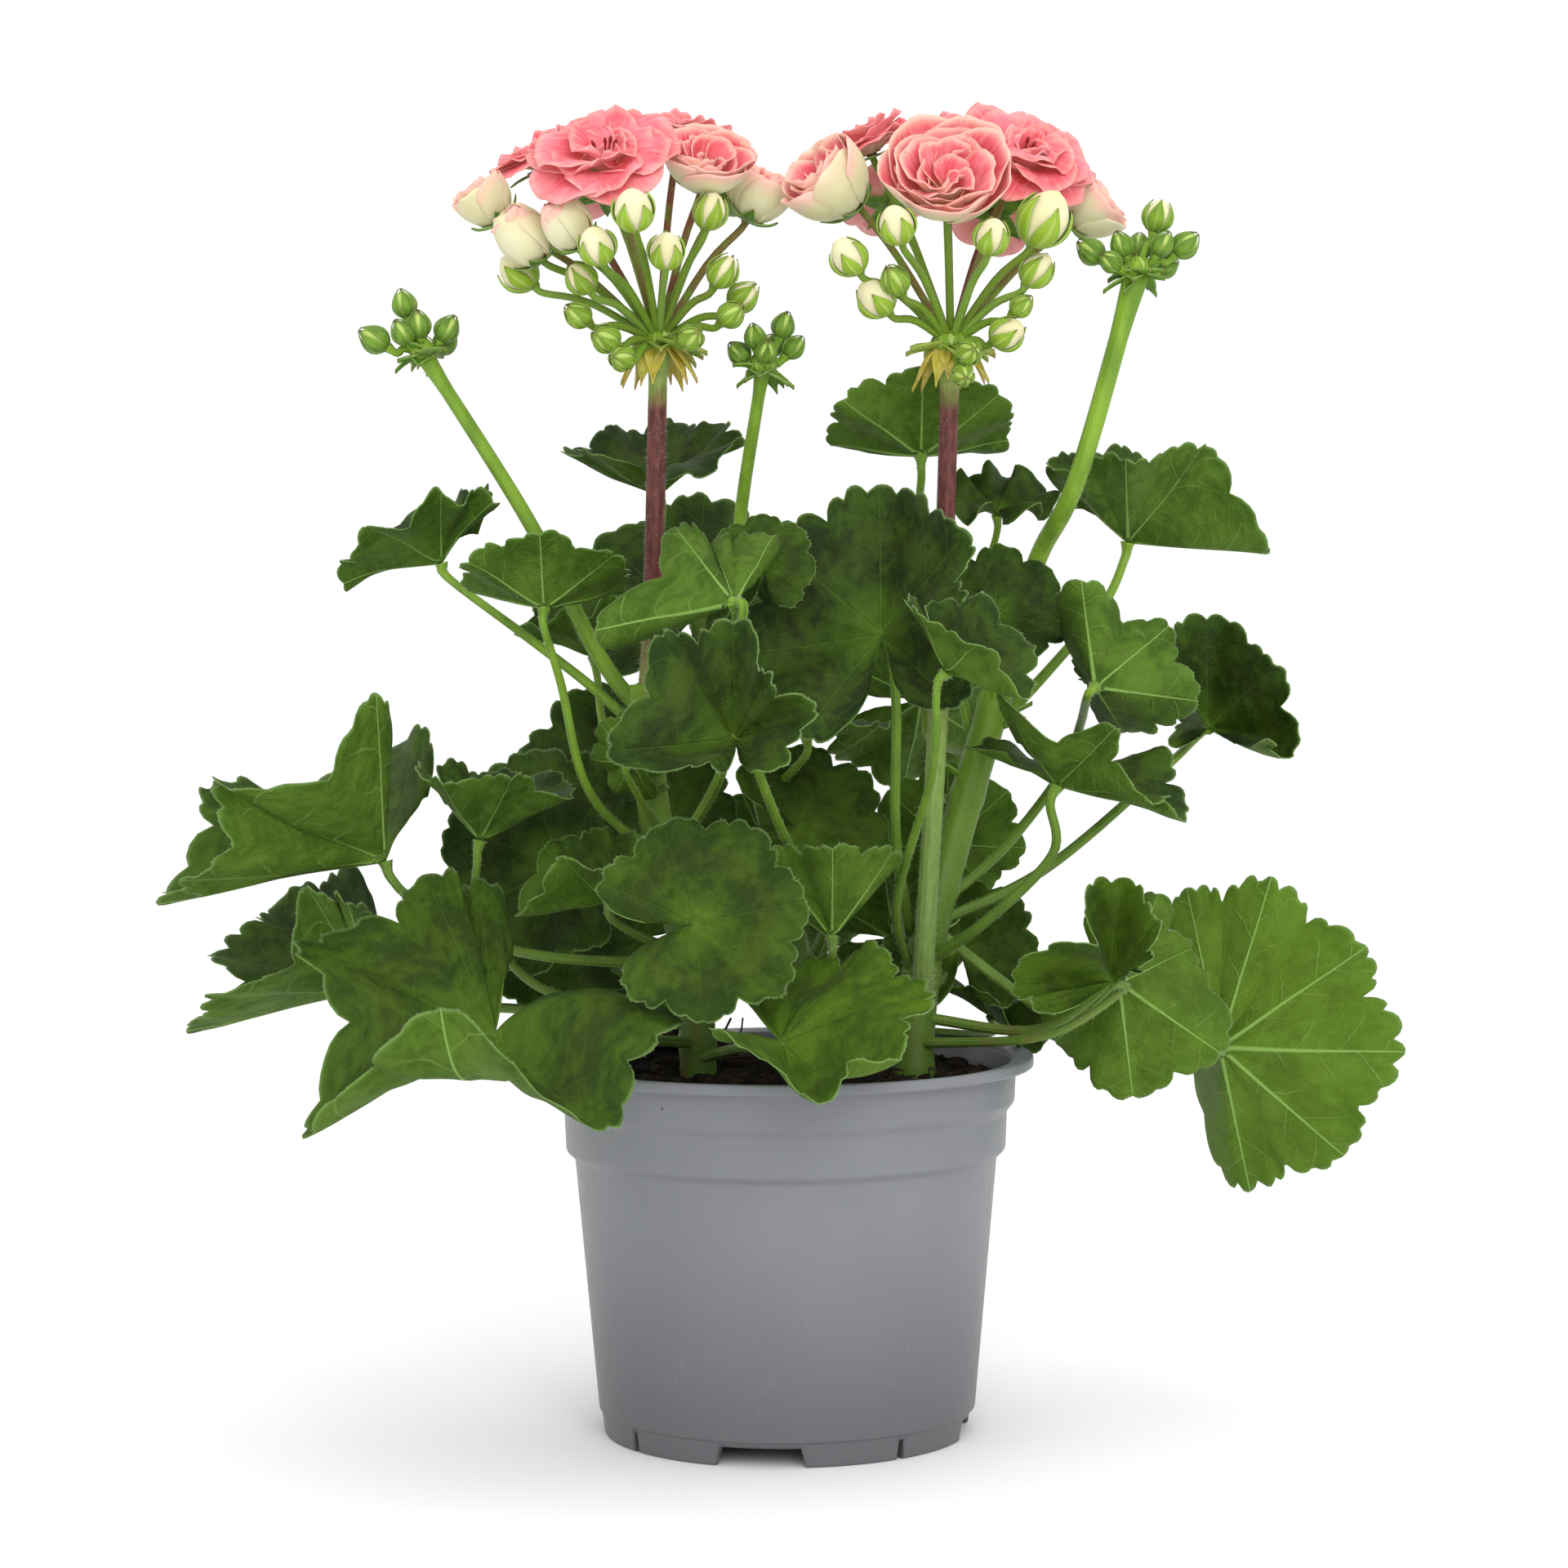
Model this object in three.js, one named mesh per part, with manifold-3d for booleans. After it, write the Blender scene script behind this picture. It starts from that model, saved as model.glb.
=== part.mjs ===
// A zonal geranium in a grey nursery pot: two full umbels of double pink blooms,
// three young bud heads, and a bush of rounded, crenate leaves on hairy stems.
// Millimetres, +Z up, the viewer of the photo on the -Y side. Shapes are laid out from the
// pot's axis at ground level, and at the end the whole plant is centred on its own footprint.

import * as THREE from 'three';
import { mergeVertices } from 'three/addons/utils/BufferGeometryUtils.js';
import Module from 'manifold-3d';

const wasm = await Module();
wasm.setup();

// Driving dimensions

const POT_HEIGHT = 99;
const POT_RIM_RADIUS = 65;
const POT_FOOT_RADIUS = 48;
const POT_FLOOR_HEIGHT = 5;
const POT_WALL = 1.2;
const POT_SIDES = 24;
const SHOULDER = { radius: 55.3, height: 72 };
const COLLAR = { radius: 57.6, height: 85 };
const NECK = { radius: 59.6, height: 88 };
const SOIL_LEVEL = 92;
const SOIL_MOUND = 8;
const SEAT_GAP = 0.3;

const BLADE_THICKNESS = 0.8;
const VEIN_STEP = 48;
const BLADE_HALF_ANGLE = 168;
const PETIOLE_RADIUS = 1.4;
const PETIOLE_NECK = 5;
const SINK_IN_SOIL = 22;

const PEDICEL_RADIUS = 1;
const BUD_LENGTH = 2.35;
const PETAL_THICKNESS = 0.8;

const COLOURS = {
  pot: { color: 0x85878c, roughness: 0.42, metalness: 0 },
  soil: { color: 0x2a221c, roughness: 0.95, metalness: 0 },
  stem: { color: 0x6f9a3e, roughness: 0.6, metalness: 0 },
  stalk: { color: 0x7f9443, roughness: 0.6, metalness: 0 },
  bud: { color: 0x8fb84e, roughness: 0.6, metalness: 0 },
  leaf: { color: 0x3f7a26, roughness: 0.6, metalness: 0 },
  petal: { color: 0xf2a3b5, roughness: 0.6, metalness: 0 },
  paleBloom: { color: 0xf3e3cf, roughness: 0.6, metalness: 0 },
};

const DEGREE = Math.PI / 180;
const UP = new THREE.Vector3(0, 0, 1);
const vec = (p) => new THREE.Vector3(p[0], p[1], p[2]);
const clamp = THREE.MathUtils.clamp;

// Joining and cutting of closed shapes

function solidOf(geometry) {
  const plain = geometry.clone();
  plain.deleteAttribute('normal');
  plain.deleteAttribute('uv');
  const merged = mergeVertices(plain, 1e-4);
  return new wasm.Manifold(new wasm.Mesh({
    numProp: 3,
    vertProperties: new Float32Array(merged.attributes.position.array),
    triVerts: new Uint32Array(merged.index.array),
  }));
}

function geometryOf(solid) {
  const mesh = solid.getMesh();
  const geometry = new THREE.BufferGeometry();
  geometry.setAttribute('position', new THREE.BufferAttribute(new Float32Array(mesh.vertProperties), 3));
  geometry.setIndex(new THREE.BufferAttribute(new Uint32Array(mesh.triVerts), 1));
  return geometry;
}

const join = (solids) => solids.reduce((whole, piece) => whole.add(piece));

// A closed geometry from a list of points and a list of triangles

function closedGeometry(points, triangles) {
  const geometry = new THREE.BufferGeometry();
  geometry.setFromPoints(points);
  geometry.setIndex(triangles.flat());
  return geometry;
}

// Triangles between two rows of points, walked by angle. A row holds the index of its
// first point and the angle of each point; a closed row comes back to its first point.

function rowOf(first, angles, closed = false) {
  const indices = angles.map((angle, i) => first + i);
  return closed
    ? { indices: [...indices, first], angles: [...angles, angles[0] + 2 * Math.PI] }
    : { indices, angles };
}

function stitch(inner, outer) {
  const triangles = [];
  const halfway = (row, i) => (row.angles[i] + (row.angles[i + 1] ?? Infinity)) / 2;
  let i = 0;
  let j = 0;
  while (i < inner.indices.length - 1 || j < outer.indices.length - 1) {
    if (halfway(outer, j) <= halfway(inner, i)) {
      triangles.push([inner.indices[i], outer.indices[j], outer.indices[j + 1]]);
      j += 1;
    } else {
      triangles.push([inner.indices[i], outer.indices[j], inner.indices[i + 1]]);
      i += 1;
    }
  }
  return triangles;
}

// A tapering round bar along a smooth curve, closed at both ends

function barAlong(points, radiusStart, radiusEnd, sides, steps) {
  const curve = new THREE.CatmullRomCurve3(points.map(vec), false, 'catmullrom', 0.5);
  const bar = new THREE.CylinderGeometry(radiusEnd, radiusStart, 1, sides, steps);
  const frames = curve.computeFrenetFrames(steps, false);
  const place = bar.attributes.position;
  for (let i = 0; i < place.count; i += 1) {
    const step = Math.round((place.getY(i) + 0.5) * steps);
    const centre = curve.getPoint(step / steps);
    centre.addScaledVector(frames.normals[step], place.getX(i));
    centre.addScaledVector(frames.binormals[step], -place.getZ(i));
    place.setXYZ(i, centre.x, centre.y, centre.z);
  }
  return solidOf(bar);
}

// Pot: one turned shell with foot notches and drain holes. Going up, its wall leans out to a
// shoulder, steps out to a collar and again to a neck, and ends in a flat rim.

function makePot() {
  const footThickness = 2.5;
  const footLip = 0.8;
  const rimThickness = 3;
  const underFloor = POT_FLOOR_HEIGHT - POT_WALL;
  const underRim = POT_HEIGHT - rimThickness;
  const profile = [
    [0, underFloor], [POT_FOOT_RADIUS - footThickness - 1.5, underFloor],
    [POT_FOOT_RADIUS - footThickness, 0], [POT_FOOT_RADIUS, 0],
    [POT_FOOT_RADIUS + footLip, 6.4], [POT_FOOT_RADIUS + footLip + 0.6, 6.6],
    [SHOULDER.radius, SHOULDER.height + 0.6], [COLLAR.radius, SHOULDER.height + 2.6],
    [COLLAR.radius + 0.4, COLLAR.height - 0.4], [NECK.radius + 0.4, NECK.height - 1],
    [NECK.radius + 0.8, underRim - 0.4], [POT_RIM_RADIUS, underRim], [POT_RIM_RADIUS, POT_HEIGHT],
    [NECK.radius + 0.8 - POT_WALL, POT_HEIGHT - 1], [NECK.radius - POT_WALL, NECK.height],
    [COLLAR.radius - POT_WALL, COLLAR.height], [SHOULDER.radius - POT_WALL, SHOULDER.height],
    [POT_FOOT_RADIUS + 0.2, POT_FLOOR_HEIGHT], [0, POT_FLOOR_HEIGHT],
  ].map((p) => new THREE.Vector2(p[0], p[1]));
  const shell = new THREE.LatheGeometry(profile, POT_SIDES).rotateX(Math.PI / 2);
  let pot = solidOf(shell);

  const wideNotch = 22;
  const narrowNotch = 2;
  const notchHeight = 5;
  const notchDepth = 12;
  const notchTurn = -8.4;
  const drainRadius = 4;
  const drainFromAxis = 30;
  for (let quarter = 0; quarter < 4; quarter += 1) {
    [[wideNotch, 0], [narrowNotch, 45]].forEach(([width, turn]) => {
      const notch = new THREE.BoxGeometry(width, notchDepth, notchHeight * 2);
      notch.translate(0, -POT_FOOT_RADIUS, 0);
      notch.rotateZ((90 * quarter + notchTurn + turn) * DEGREE);
      pot = pot.subtract(solidOf(notch));
    });
    const drain = new THREE.CylinderGeometry(drainRadius, drainRadius, POT_FLOOR_HEIGHT, 6);
    drain.rotateX(Math.PI / 2);
    drain.translate(drainFromAxis, 0, POT_FLOOR_HEIGHT - POT_WALL / 2);
    drain.rotateZ((90 * quarter + 45) * DEGREE);
    pot = pot.subtract(solidOf(drain));
  }
  return pot;
}

// Soil: fills the pot up to a clumpy top that is mounded at the back left

function soilHeight(x, y) {
  const mound = SOIL_MOUND * Math.exp(-((x + 30) ** 2 + (y - 38) ** 2) / 500);
  const clumps = 0.9 * Math.sin(x * 0.31 + 1) * Math.cos(y * 0.27) + 0.6 * Math.sin(x * 0.63 - y * 0.51);
  return SOIL_LEVEL + mound + clumps;
}

function makeSoil() {
  const inset = POT_WALL + SEAT_GAP + 0.1;
  const bottom = POT_FLOOR_HEIGHT + SEAT_GAP;
  const top = SOIL_LEVEL + 1;
  const profile = [
    [0, bottom], [POT_FOOT_RADIUS - SEAT_GAP, bottom],
    [SHOULDER.radius - inset, SHOULDER.height], [COLLAR.radius - inset, COLLAR.height + 0.2],
    [NECK.radius - inset, NECK.height + 0.2], [NECK.radius - inset, SOIL_LEVEL],
    [44, top], [24, top], [0, top],
  ].map((p) => new THREE.Vector2(p[0], p[1]));
  const soil = new THREE.LatheGeometry(profile, POT_SIDES).rotateX(Math.PI / 2);
  const place = soil.attributes.position;
  for (let i = 0; i < place.count; i += 1) {
    if (place.getZ(i) > SOIL_LEVEL + 0.5) place.setZ(i, soilHeight(place.getX(i), place.getY(i)));
  }
  return solidOf(soil);
}

// Leaf blade: a polar surface with seven main veins, each lifted and curled on its own,
// a crenate edge and a sinus at the back where the petiole joins

function betweenVeins(values, theta) {
  const position = clamp(theta / VEIN_STEP, -3, 3) + 3;
  const lower = Math.min(Math.floor(position), 5);
  const blend = 0.5 - 0.5 * Math.cos(Math.PI * (position - lower));
  return values[lower] * (1 - blend) + values[lower + 1] * blend;
}

function veinFan(value) {
  return Array.isArray(value) ? value : Array(7).fill(value);
}

function bladeOutline(theta) {
  const turn = theta / VEIN_STEP;
  const fromVein = Math.abs(turn - Math.round(turn)) * 2;
  const angle = Math.abs(theta);
  return (1 - 0.13 * (angle / BLADE_HALF_ANGLE) ** 2)
    * (1 - 0.09 * fromVein ** 2)
    * (1 - 0.38 * clamp((angle - 146) / 22, 0, 1) ** 2);
}

function bladeAxes([heading, rise, roll]) {
  const h = heading * DEGREE;
  const r = rise * DEGREE;
  const o = roll * DEGREE;
  const midrib = new THREE.Vector3(Math.cos(r) * Math.cos(h), Math.cos(r) * Math.sin(h), Math.sin(r));
  const level = new THREE.Vector3(-Math.sin(r) * Math.cos(h), -Math.sin(r) * Math.sin(h), Math.cos(r));
  const across = new THREE.Vector3().crossVectors(level, midrib);
  const face = level.clone().multiplyScalar(Math.cos(o)).addScaledVector(across, Math.sin(o));
  const side = across.clone().multiplyScalar(Math.cos(o)).addScaledVector(level, -Math.sin(o));
  return { midrib, side, face };
}

// How much of the radius is left at an angle where lobes are cleft more deeply than usual
function cleftShare(leaf, theta) {
  const position = clamp(theta / VEIN_STEP + 3, 0, 5.999);
  const depth = leaf.cleft?.[Math.floor(position)] ?? 0;
  return 1 - depth * Math.sin(Math.PI * (position % 1)) ** 2;
}

function bladePoint(leaf, axes, theta, t, tooth = 0) {
  const turn = theta / VEIN_STEP;
  const fromVein = Math.abs(turn - Math.round(turn)) * 2;
  const lift = betweenVeins(leaf.lift, theta) * DEGREE;
  const bend = betweenVeins(veinFan(leaf.curl ?? 0), theta) * DEGREE;
  const curl = Math.abs(bend) < 1e-4 ? 1e-4 : bend;
  const toothed = 1 + tooth * clamp(t * 2 - 0.8, 0, 1);
  const reach = leaf.size * bladeOutline(theta) * cleftShare(leaf, theta) * toothed;
  const out = reach * (Math.sin(lift + curl * t) - Math.sin(lift)) / curl;
  const rise = reach * (Math.cos(lift) - Math.cos(lift + curl * t)) / curl;
  const angle = theta * betweenVeins(veinFan(leaf.spread ?? 1), theta) * DEGREE;
  const ray = axes.midrib.clone().multiplyScalar(Math.cos(angle))
    .addScaledVector(axes.side, Math.sin(angle));
  const slope = lift + curl * t;
  const normal = axes.face.clone().multiplyScalar(Math.cos(slope)).addScaledVector(ray, -Math.sin(slope));
  const pleat = 0.05 * leaf.size * (fromVein ** 1.2 - 0.35) * Math.sin(Math.PI * t ** 0.8 * 0.75);
  const ruffle = (leaf.ruffle ?? 0.04) * leaf.size * t ** 2.5
    * Math.sin((leaf.waves ?? 9) * theta * DEGREE + (leaf.phase ?? 0));
  return vec(leaf.at).addScaledVector(ray, out).addScaledVector(axes.face, rise)
    .addScaledVector(normal, pleat + ruffle);
}

function bladeNormal(leaf, axes, theta, t) {
  const d = 2;
  const along = bladePoint(leaf, axes, theta, Math.min(t + 0.03, 1))
    .sub(bladePoint(leaf, axes, theta, Math.max(t - 0.03, 0.02)));
  const around = bladePoint(leaf, axes, theta + d, t).sub(bladePoint(leaf, axes, theta - d, t));
  return along.cross(around).normalize();
}

function makeLeaf(leaf) {
  const axes = bladeAxes(leaf.dir);
  const half = BLADE_THICKNESS / 2;
  const toothDepth = 0.045;
  const teethPerLobe = leaf.size > 40 ? 4 : leaf.size > 24 ? 3 : 2;
  const rimCount = 7 * teethPerLobe;
  const rimStep = (2 * BLADE_HALF_ANGLE) / rimCount;
  const rimAngles = Array.from({ length: rimCount + 1 }, (_, i) => i * rimStep - BLADE_HALF_ANGLE);
  const ringAngles = [-BLADE_HALF_ANGLE, -144, -96, -48, 0, 48, 96, 144, BLADE_HALF_ANGLE];
  const faces = [[], []];
  const layPoint = (point, normal) => {
    faces[0].push(point.clone().addScaledVector(normal, half));
    faces[1].push(point.clone().addScaledVector(normal, -half));
  };
  const lay = (theta, t, tooth) => {
    layPoint(bladePoint(leaf, axes, theta, t, tooth), bladeNormal(leaf, axes, theta, t));
  };

  const middle = new THREE.Vector3();
  ringAngles.forEach((theta) => middle.add(bladeNormal(leaf, axes, theta, 0.2)));
  layPoint(vec(leaf.at), middle.normalize());
  ringAngles.forEach((theta) => lay(theta, 0.52, 0));
  rimAngles.forEach((theta, i) => {
    const notch = i % teethPerLobe === 0;
    const dent = teethPerLobe === 4 && i % 4 === 2;
    const tooth = notch ? -2 * toothDepth : toothDepth;
    lay(theta, 1, dent ? 0 : tooth);
  });

  // The petiole leaves the under face of the junction as a short ring of its own
  const neckEnd = vec(leaf.at).addScaledVector(middle, -PETIOLE_NECK).toArray();
  const route = [leaf.at, neckEnd, ...(leaf.via ?? []), leaf.to];
  const curve = new THREE.CatmullRomCurve3(route.map(vec), false, 'catmullrom', 0.5);
  const steps = 1 + route.length;
  const quarter = [-180, -90, 0, 90];
  const points = [...faces[0], ...faces[1]];
  const petioleRows = [];
  const across = axes.midrib.clone();
  for (let k = 0; k <= steps; k += 1) {
    const along = k === 0 ? middle.clone().negate() : curve.getTangent(k / steps);
    across.addScaledVector(along, -across.dot(along)).normalize();
    const beside = new THREE.Vector3().crossVectors(across, along);
    const centre = k === 0 ? vec(leaf.at).addScaledVector(middle, -half) : curve.getPoint(k / steps);
    const radius = PETIOLE_RADIUS * (k < 2 ? 1 : 1 + (0.3 * k) / steps);
    petioleRows.push(rowOf(points.length, quarter.map((angle) => angle * DEGREE), true));
    quarter.forEach((angle) => {
      points.push(centre.clone().addScaledVector(across, radius * Math.cos(angle * DEGREE))
        .addScaledVector(beside, radius * Math.sin(angle * DEGREE)));
    });
  }
  const petioleEnd = rowOf(points.length, [0]);
  points.push(vec(leaf.to));

  const count = faces[0].length;
  const ring = rowOf(1, ringAngles);
  const rim = rowOf(1 + ringAngles.length, rimAngles);
  const neck = { indices: petioleRows[0].indices, angles: [...quarter, 180] };
  const below = (row) => ({ indices: row.indices.map((i) => i + count), angles: row.angles });
  const upper = [...stitch(rowOf(0, [0]), ring), ...stitch(ring, rim)];
  const lower = [...stitch(neck, below(ring)), ...stitch(below(ring), below(rim))];
  petioleRows.slice(1).forEach((row, k) => lower.push(...stitch(row, petioleRows[k])));
  lower.push(...stitch(petioleEnd, petioleRows.at(-1)));
  const edge = [0, ring.indices[0], ...rim.indices, ring.indices.at(-1)];
  const under = (i) => (i === 0 ? neck.indices[0] : i + count);
  const wall = edge.flatMap((a, i) => {
    const b = edge[(i + 1) % edge.length];
    return [[a, under(a), under(b)], [a, under(b), b]];
  });
  const skin = [...upper, ...lower.map(([a, b, c]) => [a, c, b]), ...wall];
  return solidOf(closedGeometry(points, skin));
}

// Leaves, by the stem that they grow from. Each has its junction point, the heading, rise
// and roll of its midrib, its radius, the lift (and curl) of its seven veins, how far the
// veins fan out (spread), how deep the blade is cut between them (cleft), and the way of
// its petiole to the stem.

const LEFT_LEAVES = [
  { at: [-103, -14, 151], dir: [184, -10, 0], size: 57, lift: [36, 20, 32, 0, 6, 30, 58],
    spread: [0.75, 0.6, 0.6, 1, 0.6, 0.42, 0.72], cleft: [0, 0, 0, 0.1, 0.05, 0.25],
    via: [[-94, -14, 140], [-68, -20, 128]], to: [-24, 2, 122] },
  { at: [-108, 4, 117], dir: [188, -12, 0], size: 50, lift: [40, 32, 20, 0, 10, 42, 35],
    spread: [0.62, 0.62, 0.7, 1, 0.7, 0.75, 0.6], cleft: [0, 0, 0.15, 0, 0.2, 0], via: [[-68, 10, 110]],
    to: [-23, 2, 106] },
  { at: [-72, -55, 111], dir: [212, 0, 0], size: 56, lift: [40, 44, 24, -22, -50, -25, 45],
    curl: [0, 0, 0, 0, 125, 10, -80], spread: [0.78, 0.95, 1, 1, 0.95, 0.95, 1],
    cleft: [0, 0.12, 0.24, 0, 0, 0.1],
    via: [[-54, -32, 107]], to: [-22, 0, 102] },
  { at: [-79, -8, 156], dir: [345, 0, 0], size: 28, lift: [50, 38, 40, 25, 35, 40, 50],
    via: [[-79, -4, 136], [-62, -2, 116]], to: [-23, 0, 112] },
  { at: [-60, 18, 147], dir: [160, 20, 68], size: 34, lift: [20, 10, 5, 0, 0, 10, 20],
    via: [[-44, 8, 138]], to: [-28, 3, 134] },
  { at: [-45, -23, 141], dir: [192, -8, 0], size: 23, lift: [50, 55, 50, 0, 38, 25, 20],
    via: [[-34, -14, 130]], to: [-24, 2, 126] },
  { at: [-22, -58, 138], dir: [0, 12, -76], size: 28, lift: [20, 20, 10, 0, 0, 0, 10],
    via: [[-24, -30, 126]], to: [-24, 2, 118] },
  { at: [-1, -60, 109], dir: [0, 0, 0], size: 38, lift: [10, -40, -40, 18, 37, 30, 30],
    curl: [0, 50, 80, 0, 0, 0, 0], spread: 0.8, via: [[-10, -30, 104]], to: [-22, 0, 98] },
  { at: [-61, -22, 216], dir: [270, 50, 0], size: 25, lift: [65, 30, 0, 0, 0, 30, 65],
    via: [[-57, -16, 196], [-52, -10, 172], [-43, -2, 159]], to: [-31.5, 4, 153] },
  { at: [-90, 10, 228], dir: [180, 0, 0], size: 27, lift: [60, 55, 35, 0, 25, 55, 55], curl: -20,
    ruffle: 0.1, via: [[-68, 8, 209], [-50, 7, 195]], to: [-36, 5, 182] },
  { at: [-51, 28, 203], dir: [200, 0, 0], size: 22, lift: [50, 50, 40, 20, 30, 50, 50], ruffle: 0.1,
    via: [[-47, 20, 182]], to: [-34, 5, 164] },
  { at: [-33, 26, 246], dir: [80, 0, 0], size: 29, lift: [60, 42, 45, 45, 42, 24, 24],
    curl: [-100, -20, 0, 0, 0, 0, 0], via: [[-34, 20, 220]], to: [-36, 5, 188] },
  { at: [-12, -54, 217], dir: [185, -15, -75], size: 36, lift: [62, 70, 52, 18, 62, 76, 61],
    spread: [0.5, 0.5, 0.55, 1, 1.3, 1, 1.1], cleft: [0, 0, 0, 0.3, 0, 0],
    via: [[-13, -48, 198], [-16, -24, 174]], to: [-31, 4, 148] },
];

const LEFT_YOUNG_LEAVES = [
  { at: [-34, 32, 160], dir: [90, 65, 0], size: 22, lift: [20, 10, 0, 0, 0, 10, 20], to: [-30, 4, 142] },
  { at: [-39, -14, 176], dir: [180, 40, -60], size: 14, lift: [20, 20, 20, 20, 20, 20, 20],
    to: [-32, 4, 156] },
  { at: [-58, 30, 124], dir: [180, 10, 60], size: 22, lift: [20, 10, 0, 0, 0, 10, 20], to: [-24, 2, 114] },
];

const MIDDLE_LEAVES = [
  { at: [12, -30, 132], dir: [270, 65, 0], size: 27, lift: [60, 45, 20, 0, 20, 70, 80], spread: 0.8,
    via: [[9, -18, 118]], to: [4, 16, 106] },
  { at: [-25, 56, 213], dir: [80, 62, 0], size: 38, lift: [30, 10, 0, 0, 0, 10, 30],
    via: [[-18, 48, 192]], to: [-6, 24, 172] },
  { at: [-12, -68, 184], dir: [90, 80, 0], size: 32, lift: [60, 52, 65, 35, 0, 5, 68],
    spread: [1, 0.85, 0.7, 1, 0.75, 1, 1.1], cleft: [0, 0, 0, 0.1, 0.12, 0.35],
    via: [[0, -30, 158], [11, -16, 138]], to: [4, 16, 116] },
];

const MIDDLE_YOUNG_LEAVES = [
  { at: [-5, -24, 226], dir: [90, 80, 0], size: 14, lift: [10, 10, 0, 0, 0, 10, 10],
    via: [[-10, -12, 221], [-14, 8, 206]], to: [-10, 23, 188] },
  { at: [6, 0, 182], dir: [318, 10, 0], size: 22, lift: [30, 20, 10, 0, 0, 10, 20],
    to: [-4, 22, 166] },
  { at: [4, 8, 158], dir: [0, -10, -60], size: 24, lift: [10, 10, 0, 0, 0, 10, 10], to: [0, 21, 148] },
];

const RIGHT_LEAVES = [
  { at: [86, -18, 119], dir: [0, -35, 84], size: 32, lift: [50, 45, 52, 0, 8, 35, 50],
    via: [[66, -8, 106]], to: [35, 5, 108] },
  { at: [83, -36, 121], dir: [90, 75, 0], size: 26, lift: [80, 75, 55, 0, 70, 0, 20],
    spread: [0.8, 0.8, 0.8, 1, 1, 0.95, 0.75], via: [[66, -24, 106]], to: [34, 4, 101] },
  { at: [116, 18, 98], dir: [0, -2, 80], size: 47.5, lift: [15, 12, 0, 0, 5, 15, 70], ruffle: 0.02,
    spread: [0.72, 0.78, 0.8, 1, 0.85, 0.78, 0.72], via: [[101, 12, 95], [84, 10, 100], [64, 8, 112]],
    to: [38, 7, 132] },
  { at: [25, -20, 209], dir: [90, 74, 0], size: 39, lift: [30, 60, 45, 0, 0, -10, 10],
    via: [[29, -14, 190], [29, -6, 156]], to: [33, 6, 130] },
  { at: [37, 25, 256], dir: [270, 55, 0], size: 28, lift: [70, 25, 0, 0, 0, 25, 70],
    via: [[38, 30, 234]], to: [50, 12, 180] },
  { at: [57, 20, 240], dir: [90, 0, 0], size: 17, lift: [30, 30, 45, 50, 45, 30, 30],
    curl: [-60, -40, 0, 0, 0, -40, -60], ruffle: 0.2, waves: 7, via: [[54, 26, 222], [56, 22, 204]],
    to: [55, 10, 180] },
  { at: [93, 34, 233], dir: [0, 0, 0], size: 37, lift: [35, 38, 45, -4, 45, 45, 45],
    via: [[86, 30, 216], [70, 21, 198]], to: [54, 10, 182] },
  { at: [40, -62, 200], dir: [330, -15, 0], size: 23, lift: [50, 40, 30, 0, 25, 62, 45],
    via: [[37, -44, 174], [29, -14, 140]], to: [33, 5, 120] },
  { at: [56, 7, 214], dir: [0, -10, -78], size: 19, lift: [-30, 80, 30, 0, 0, 0, -10],
    via: [[57, 4, 204]], to: [54, 9, 184] },
  { at: [80, -16, 195], dir: [0, -10, 84], size: 29, lift: [75, 0, 30, 20, 50, 85, 85],
    spread: [1, 1.12, 0.95, 1, 1, 1, 1], cleft: [0, 0.25, 0, 0, 0, 0],
    via: [[78, 6, 185], [74, 16, 172], [58, 12, 152]], to: [39, 7, 136] },
  { at: [114, 28, 183], dir: [90, 82, 0], size: 30, lift: [60, -25, 45, 0, 30, 75, 60],
    curl: [0, 110, 0, 0, 0, 0, 0], spread: [0.8, 1.15, 1, 1, 0.9, 0.8, 0.8],
    via: [[98, 16, 170], [68, 9, 146]], to: [38, 6, 132] },
  { at: [70, -20, 170], dir: [350, -12, 0], size: 34, lift: [40, 38, 6, 0, 24, 8, 10],
    spread: [0.95, 0.62, 0.8, 1, 0.9, 1, 1], cleft: [0.35, 0.15, 0, 0, 0.1, 0],
    via: [[69, -16, 152], [52, -8, 134]], to: [36, 5, 122] },
];

const RIGHT_YOUNG_LEAVES = [
  { at: [44, 32, 152], dir: [270, 80, 0], size: 22, lift: [20, 10, 0, 0, 0, 10, 20], to: [42, 8, 144] },
  { at: [47, 21, 124], dir: [90, 60, 0], size: 22, lift: [0, 0, 0, 0, 0, 0, 0], to: [36, 7, 112] },
  { at: [56, 33, 105], dir: [300, -20, 0], size: 22, lift: [20, 30, 40, 0, 40, 30, 20], to: [35, 6, 104] },
];

const BACK_LEAVES = [
  { at: [-42, 56, 165], dir: [170, 15, 65], size: 34, lift: [20, 10, 5, 0, 5, 10, 20],
    via: [[-30, 36, 148]], to: [-26, 2, 130] },
  { at: [0, 64, 138], dir: [10, 20, 65], size: 32, lift: [20, 10, 5, 0, 5, 10, 20],
    via: [[0, 44, 128]], to: [2, 18, 122] },
  { at: [38, 60, 190], dir: [20, 15, 60], size: 33, lift: [20, 10, 5, 0, 5, 10, 20],
    via: [[40, 44, 180]], to: [52, 10, 176] },
  { at: [30, 58, 124], dir: [20, 10, 60], size: 26, lift: [20, 10, 5, 0, 5, 10, 20],
    via: [[26, 38, 112]], to: [33, 6, 109] },
  { at: [-40, 66, 124], dir: [180, 10, 60], size: 24, lift: [20, 10, 5, 0, 5, 10, 20],
    via: [[-28, 40, 110]], to: [-23, 2, 104] },
];

// Stems and stalks, as the ways of their centre lines

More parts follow.
